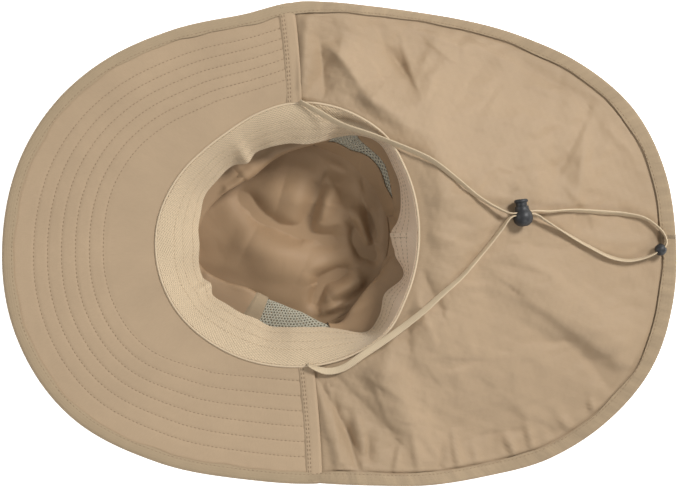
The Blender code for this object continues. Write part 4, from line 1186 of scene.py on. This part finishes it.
def makePiping():
    direction = np.linspace(0, 360, pipingMake["columns"], endpoint=False)
    height = head["rim"] + cadBand["proud"] + pipingMake["up"]
    path = polar(direction, headRadius(direction) + pipingMake["out"], height)
    ahead = unit(np.roll(path, -1, axis=0) - np.roll(path, 1, axis=0))
    side = unit(np.cross(ahead, [0, 0, 1]))
    up = np.cross(side, ahead)
    turn = np.linspace(0, circle, pipingMake["sides"], endpoint=False)[:, None, None]
    rings = path + (side * np.cos(turn) + up * np.sin(turn)) * pipingMake["radius"]
    threads = pairs(travelled(path), turn[..., 0] * pipingMake["radius"])
    faces = quads(wrapped(wrapped(numbered(rings), 0), 1))[:, flipped]
    addMesh("band_piping", rings, faces, "piping", threads)


makeBand()
makePiping()

print("chin tape")
tape = {"width": 0.005, "thickness": 0.0012, "gap": 0.0008, "step": 0.0022, "sides": 14, "over": 0.0001}
lock = {
    "radius": 0.007, "height": 0.0142, "floor": 0.003, "slot": 0.0056, "stem": 0.004, "stemFloor": 0.0013,
    "stemGap": 0.0003, "travel": 0.0022, "cap": 0.00495, "capThick": 0.0024, "lie": 0.0005,
    "place": (0.1651, 0.015), "heading": (-0.12, 1.0),
    "profile": ((1.0, 0.0), (1.0, 0.66), (0.97, 0.71), (0.84, 0.715), (0.76, 0.79), (0.66, 0.91), (0.54, 0.985),
                (0.42, 1.0), (0.28, 0.955), (0.15, 0.82), (0.06, 0.62), (0.0, 0.38), (0.0, 0.0)),
}
bead = {
    "radius": 0.00425, "length": 0.0078, "slot": 0.0018, "place": (0.265, -0.0103), "heading": (-0.82, -0.57),
    "profile": ((1.0, 0.0), (1.0, 0.4), (0.9, 0.72), (0.72, 0.94), (0.5, 1.0), (0.28, 0.94), (0.1, 0.72),
                (0.0, 0.4), (0.0, 0.0)),
}
# the tape's route from above: x, y and extra height over the cloth in mm, degrees turned from flat to on its edge
firstStrand = (
    (8.5, 93.5, 0, 60), (21.5, 86.2, 0, 40), (36.8, 77.7, 0, 48), (59.2, 70, 0, 55), (78.8, 62.3, 0, 60),
    (100.5, 52.5, 0, 65), (118.7, 38.9, 0, 72), (133.4, 27, 0.6, 80), (146, 19.6, 2.6, 90),
)
loopOut = (
    (184, 16.6, 2.2, 85), (198.5, 17.5, 0, 75), (223.7, 16.1, 0, 60), (241.2, 14.7, 0, 65), (253.1, 12.2, 0, 75),
    (261.8, 7, 0, 85), (267.6, 0.8, 0, 88), (269.4, -4, 0, 90),
)
loopBack = (
    (252, -16.6, 0, 80), (241.2, -18, 0, 70), (230.7, -16.1, 0, 60), (214.6, -8.7, 0, 60), (201.3, -1.4, 0, 62),
    (190, 5.2, 1.2, 75), (181.2, 10.4, 3.4, 88),
)
secondStrand = (
    (150, 4, 2.6, 84), (142.8, -5.2, 0.4, 80), (133.6, -16.1, 0, 78), (121.5, -29.7, 0, 72), (109.4, -40.3, 0, 60),
    (94.2, -53.9, 0, 45), (74.6, -69, 0, 25), (51.9, -84.5, 0, 8), (37, -93.8, 0, 0), (28.5, -95.3, 0, 10),
    (20.5, -93.5, 0, 45), (14, -90.5, 0, 75),
)


def acrossAt(x, y):
    direction = math.degrees(math.atan2(y, x))
    seam = float(seamRadius(direction))
    return direction, (math.hypot(x, y) - seam) / (float(edgeRadius(direction)) - seam)


def clothNormal(x, y):
    if acrossAt(x, y)[1] <= 0:
        return Vector((0, 0, 1))
    heights, step = [], 0.002
    for dx, dy in ((step, 0), (-step, 0), (0, step), (0, -step)):
        there, share = acrossAt(x + dx, y + dy)
        heights.append(float(smoothHeight(there, min(1.0, max(0.0, share)))))
    return Vector((heights[1] - heights[0], heights[3] - heights[2], 2 * step)).normalized()


def lyingFrame(thing, lift):
    # a frame over the thing's place, lift above the cloth, with Z along its heading and Y off the cloth
    centre = Vector((*thing["place"], 0.0))
    foot = centre - clothNormal(*thing["place"]) * lift
    normal = clothNormal(foot.x, foot.y)
    centre.z = float(smoothHeight(*acrossAt(foot.x, foot.y))) + (cloth["flap"] / 2 + lift) * normal.z
    ahead = Vector((*thing["heading"], 0.0))
    ahead = (ahead - normal * ahead.dot(normal)).normalized()
    made = Matrix((normal.cross(ahead), normal, ahead)).transposed().to_4x4()
    made.translation = centre
    return made


lockFrame = lyingFrame(lock, lock["radius"] + lock["lie"])
beadFrame = lyingFrame(bead, bead["radius"] + binding["wall"] + gap + lock["lie"])
bpy.context.view_layer.update()
depsgraph = bpy.context.evaluated_depsgraph_get()
clothTrees = [BVHTree.FromObject(piece, depsgraph) for piece in (flapPiece, bindingPiece)]


def groundHeight(x, y):
    direction, across = acrossAt(x, y)
    if math.hypot(x, y) < float(seamRadius(direction)) + 2 * cadBand["thickness"]:
        return head["rim"] + cadBand["proud"] + gap
    hits = [tree.ray_cast(Vector((x, y, 1.0)), Vector((0, 0, -1)))[0] for tree in clothTrees]
    return max([hit.z for hit in hits if hit] or [float(smoothHeight(direction, min(1.0, across)))])


def tapeHeight(x, y, heading, turned):
    # the height at which the tape clears the cloth below its middle and both its sides
    normal = clothNormal(x, y)
    flatWay, edgeWay = math.cos(turned), math.sin(turned)
    half = (tape["thickness"] * flatWay + tape["width"] * edgeWay) / 2
    reach = (tape["width"] * flatWay + tape["thickness"] * edgeWay) / 2
    side = Vector((-heading.y, heading.x)).normalized() * reach
    heights = [groundHeight(x + side.x * part, y + side.y * part)
               + (normal.x * side.x + normal.y * side.y) * part / normal.z for part in (-1, 0, 1)]
    return max(heights) + half / normal.z + tape["over"]


def lockCrossing(way):
    toward = 1 if (lockFrame.to_3x3() @ Vector((1, 0, 0))).x > 0 else -1
    level = way * (tape["thickness"] + tape["gap"]) / 2
    return [lockFrame @ Vector((toward * way * step * lock["radius"], 0, level))
            for step in (-1.15, -0.5, 0.0, 0.5, 1.15)]


def tapeRoute():
    beadCrossing = [beadFrame @ Vector((0, 0, step * bead["length"])) for step in (-0.55, 0.0, 0.55)]
    plan = []
    for leg in (firstStrand, lockCrossing(1), loopOut, beadCrossing, loopBack, lockCrossing(-1), secondStrand):
        for row in leg:
            held = isinstance(row, Vector)
            plan.append((Vector(row[:3]) * (1 if held else mm), math.radians(90 if held else row[3]), held))
    for i, (spot, turned, held) in enumerate(plan):
        if not held:
            heading = (plan[min(len(plan) - 1, i + 1)][0] - plan[max(0, i - 1)][0]).to_2d()
            spot.z += tapeHeight(spot.x, spot.y, heading, turned)
    return plan


def smoothRoute(route):
    points = []
    last = len(route) - 1
    for i in range(last):
        picks = [route[min(last, max(0, i + step))][0] for step in (-1, 0, 1, 2)]
        span = (picks[2] - picks[1]).length
        before = max(1e-6, (picks[1] - picks[0]).length)
        after = max(1e-6, (picks[3] - picks[2]).length)
        chord = (picks[2] - picks[1]) / span
        enter = ((picks[1] - picks[0]) / before * span + chord * before) / (span + before) if i else chord
        leave = (chord * after + (picks[3] - picks[2]) / after * span) / (span + after) if i < last - 1 else chord
        count = max(1, math.ceil(span / tape["step"]))
        for k in range(count):
            share, rest = k / count, 1 - k / count
            spot = picks[1] * rest * rest * (1 + 2 * share) + picks[2] * share * share * (3 - 2 * share)
            spot = spot + (enter * rest - leave * share) * span * share * rest
            turned = mix(route[i][1], route[i + 1][1], share)
            held = route[i][2] and (route[i + 1][2] or k == 0)
            if not held:
                spot.z = max(spot.z, tapeHeight(spot.x, spot.y, (enter * rest + leave * share).to_2d(), turned))
            points.append((spot, turned, held))
    return [*points, route[-1]]


def easeHeights(points):
    # the tape is a little stiff, so it bridges small hollows
    heights = [spot.z for spot, turned, held in points]
    least = list(heights)
    for again in range(6):
        for i in range(1, len(points) - 1):
            if not points[i][2]:
                heights[i] = max(least[i], (heights[i - 1] + heights[i + 1]) / 2)
    return [(Vector((spot.x, spot.y, height)), turned) for (spot, turned, held), height in zip(points, heights)]


def makeTape():
    points = easeHeights(smoothRoute(tapeRoute()))
    path = np.array([spot for spot, turned in points])
    ahead = unit(np.gradient(path, axis=0))
    section = []
    for turn in circle * (np.arange(tape["sides"]) + 0.5) / tape["sides"]:
        wide, high = math.cos(turn), math.sin(turn)
        section.append((math.copysign(abs(wide) ** 0.45, wide) * tape["width"] / 2,
                        math.copysign(abs(high) ** 0.8, high) * tape["thickness"] / 2))
    rings = []
    for (spot, turned), forward in zip(points, map(Vector, ahead)):
        normal = clothNormal(spot.x, spot.y)
        normal = (normal - forward * normal.dot(forward)).normalized()
        face = Matrix.Rotation(turned, 3, forward) @ normal
        rings.append([spot + face.cross(forward) * across + face * over for across, over in section])
    index = np.arange(len(points) * len(section)).reshape(len(points), -1)
    faces = [*quads(wrapped(index, 1))[:, flipped], index[0, ::-1], index[-1]]
    lengths = travelled(path)
    threads = pairs(lengths[:, None], np.array(section)[:, 0])
    piece = addMesh("chin_tape", rings, faces, "tape", threads, "chin_cord")
    mesh = bmesh.new()
    mesh.from_mesh(piece.data)
    bmesh.ops.recalc_face_normals(mesh, faces=mesh.faces)
    mesh.to_mesh(piece.data)
    mesh.free()
    return piece, path, float(lengths[-1])


tapePiece, tapePath, tapeLength = makeTape()
print(f"tape length {tapeLength:.4f}")

print("cord lock and bead")


def addShape(name, shape, matrix):
    mesh = bpy.data.meshes.new(name)
    shape.to_mesh(mesh)
    shape.free()
    piece = addObject(name, mesh)
    piece.matrix_world = matrix
    return piece


def turnedSolid(name, profile, height, radius, low, matrix, body, node):
    shape = bmesh.new()
    verts = [shape.verts.new((radius * out, 0, low + height * up)) for up, out in profile]
    for pair in zip(verts, verts[1:]):
        shape.edges.new(pair)
    piece = addShape(name, shape, matrix)
    piece.data.materials.append(tones["plastic"])
    screw = piece.modifiers.new("turn", "SCREW")
    screw.steps = screw.render_steps = 48
    screw.use_merge_vertices = True
    screw.merge_threshold = 0.00001
    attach(piece, body)
    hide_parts(node)
    return piece


def roundProfile(profile, times=4):
    # more points between a profile's rows, so that its outline is smooth
    rows = np.array(profile, float)
    steps = np.arange(0, len(rows) - 1 + 1e-9, 1 / times)
    here = np.clip(np.floor(steps).astype(int), 0, len(rows) - 2)
    picks = (rows[np.clip(here + step, 0, len(rows) - 1)] for step in (-1, 0, 1, 2))
    rounded = through(*picks, (steps - here)[:, None])
    rounded[:, 1] = np.maximum(0.0, rounded[:, 1])
    rounded[0], rounded[-1] = rows[0], rows[-1]
    return tuple(tuple(row) for row in rounded)


def cutWith(piece, matrix, size=None, radius=None, depth=None):
    # cuts a box or a round bore out of the piece
    shape = bmesh.new()
    if size:
        bmesh.ops.create_cube(shape, size=1.0, matrix=Matrix.Diagonal((*size, 1.0)))
    else:
        bmesh.ops.create_cone(shape, cap_ends=True, segments=40, radius1=radius, radius2=radius, depth=depth)
    tool = addShape("cut", shape, matrix)
    step = piece.modifiers.new("cut", "BOOLEAN")
    step.operation = "DIFFERENCE"
    step.solver = "EXACT"
    step.object = tool
    bpy.context.view_layer.update()
    done = bpy.data.meshes.new_from_object(piece.evaluated_get(bpy.context.evaluated_depsgraph_get()))
    piece.modifiers.clear()
    piece.data = done
    bpy.data.objects.remove(tool, do_unlink=True)
    done.shade_smooth()
    done.set_sharp_from_angle(angle=math.radians(35))


def makeLock():
    pair = 2 * tape["thickness"] + tape["gap"]
    slot = pair + 2 * gap
    stemBottom = -pair / 2 - gap - lock["stemFloor"]
    boreBottom = stemBottom - lock["travel"] - gap
    bodyBottom = boreBottom - lock["floor"]
    capBottom = bodyBottom + lock["height"] + lock["travel"] + gap
    profile = lock["profile"][:3] + roundProfile(lock["profile"][3:11]) + lock["profile"][11:]
    body = turnedSolid("lock_body_moulding", profile, lock["height"], lock["radius"], bodyBottom, lockFrame, "hat",
                       "cord_lock_body")
    total = capBottom - stemBottom + lock["capThick"]
    stem, cap, thin = (capBottom - stemBottom) / total, lock["capThick"] / total, lock["stem"] / lock["cap"]
    profile = ((1.0, 0.0), (1.0, 0.7), (1 - 0.08 * cap, 0.84), (1 - 0.24 * cap, 0.95), (1 - 0.45 * cap, 1.0),
               (1 - 0.8 * cap, 1.0), (1 - 0.94 * cap, 0.96), (stem, 0.88), (stem, thin), (0.0, thin), (0.0, 0.0))
    button = turnedSolid("lock_button_moulding", profile, total, lock["cap"], stemBottom, lockFrame, "button",
                         "cord_lock_button")
    depth, long = lock["height"] * 2, 4 * lock["radius"]
    cutWith(body, lockFrame @ Matrix.Translation((0, 0, boreBottom + depth / 2)),
            radius=lock["stem"] + lock["stemGap"], depth=depth)
    cutWith(body, lockFrame.copy(), size=(long, lock["slot"], slot))
    cutWith(button, lockFrame @ Matrix.Translation((0, 0, lock["travel"] / 2)),
            size=(long, lock["slot"], slot + lock["travel"]))
    stop = turnedSolid("bead_moulding", roundProfile(bead["profile"]), bead["length"], bead["radius"],
                       -bead["length"] / 2, beadFrame, "hat", "cord_end_bead")
    cutWith(stop, beadFrame.copy(), size=(bead["slot"], lock["slot"], 3 * bead["length"]))
    return [body, button, stop]


makeLock()

bpy.context.view_layer.update()
print("done")
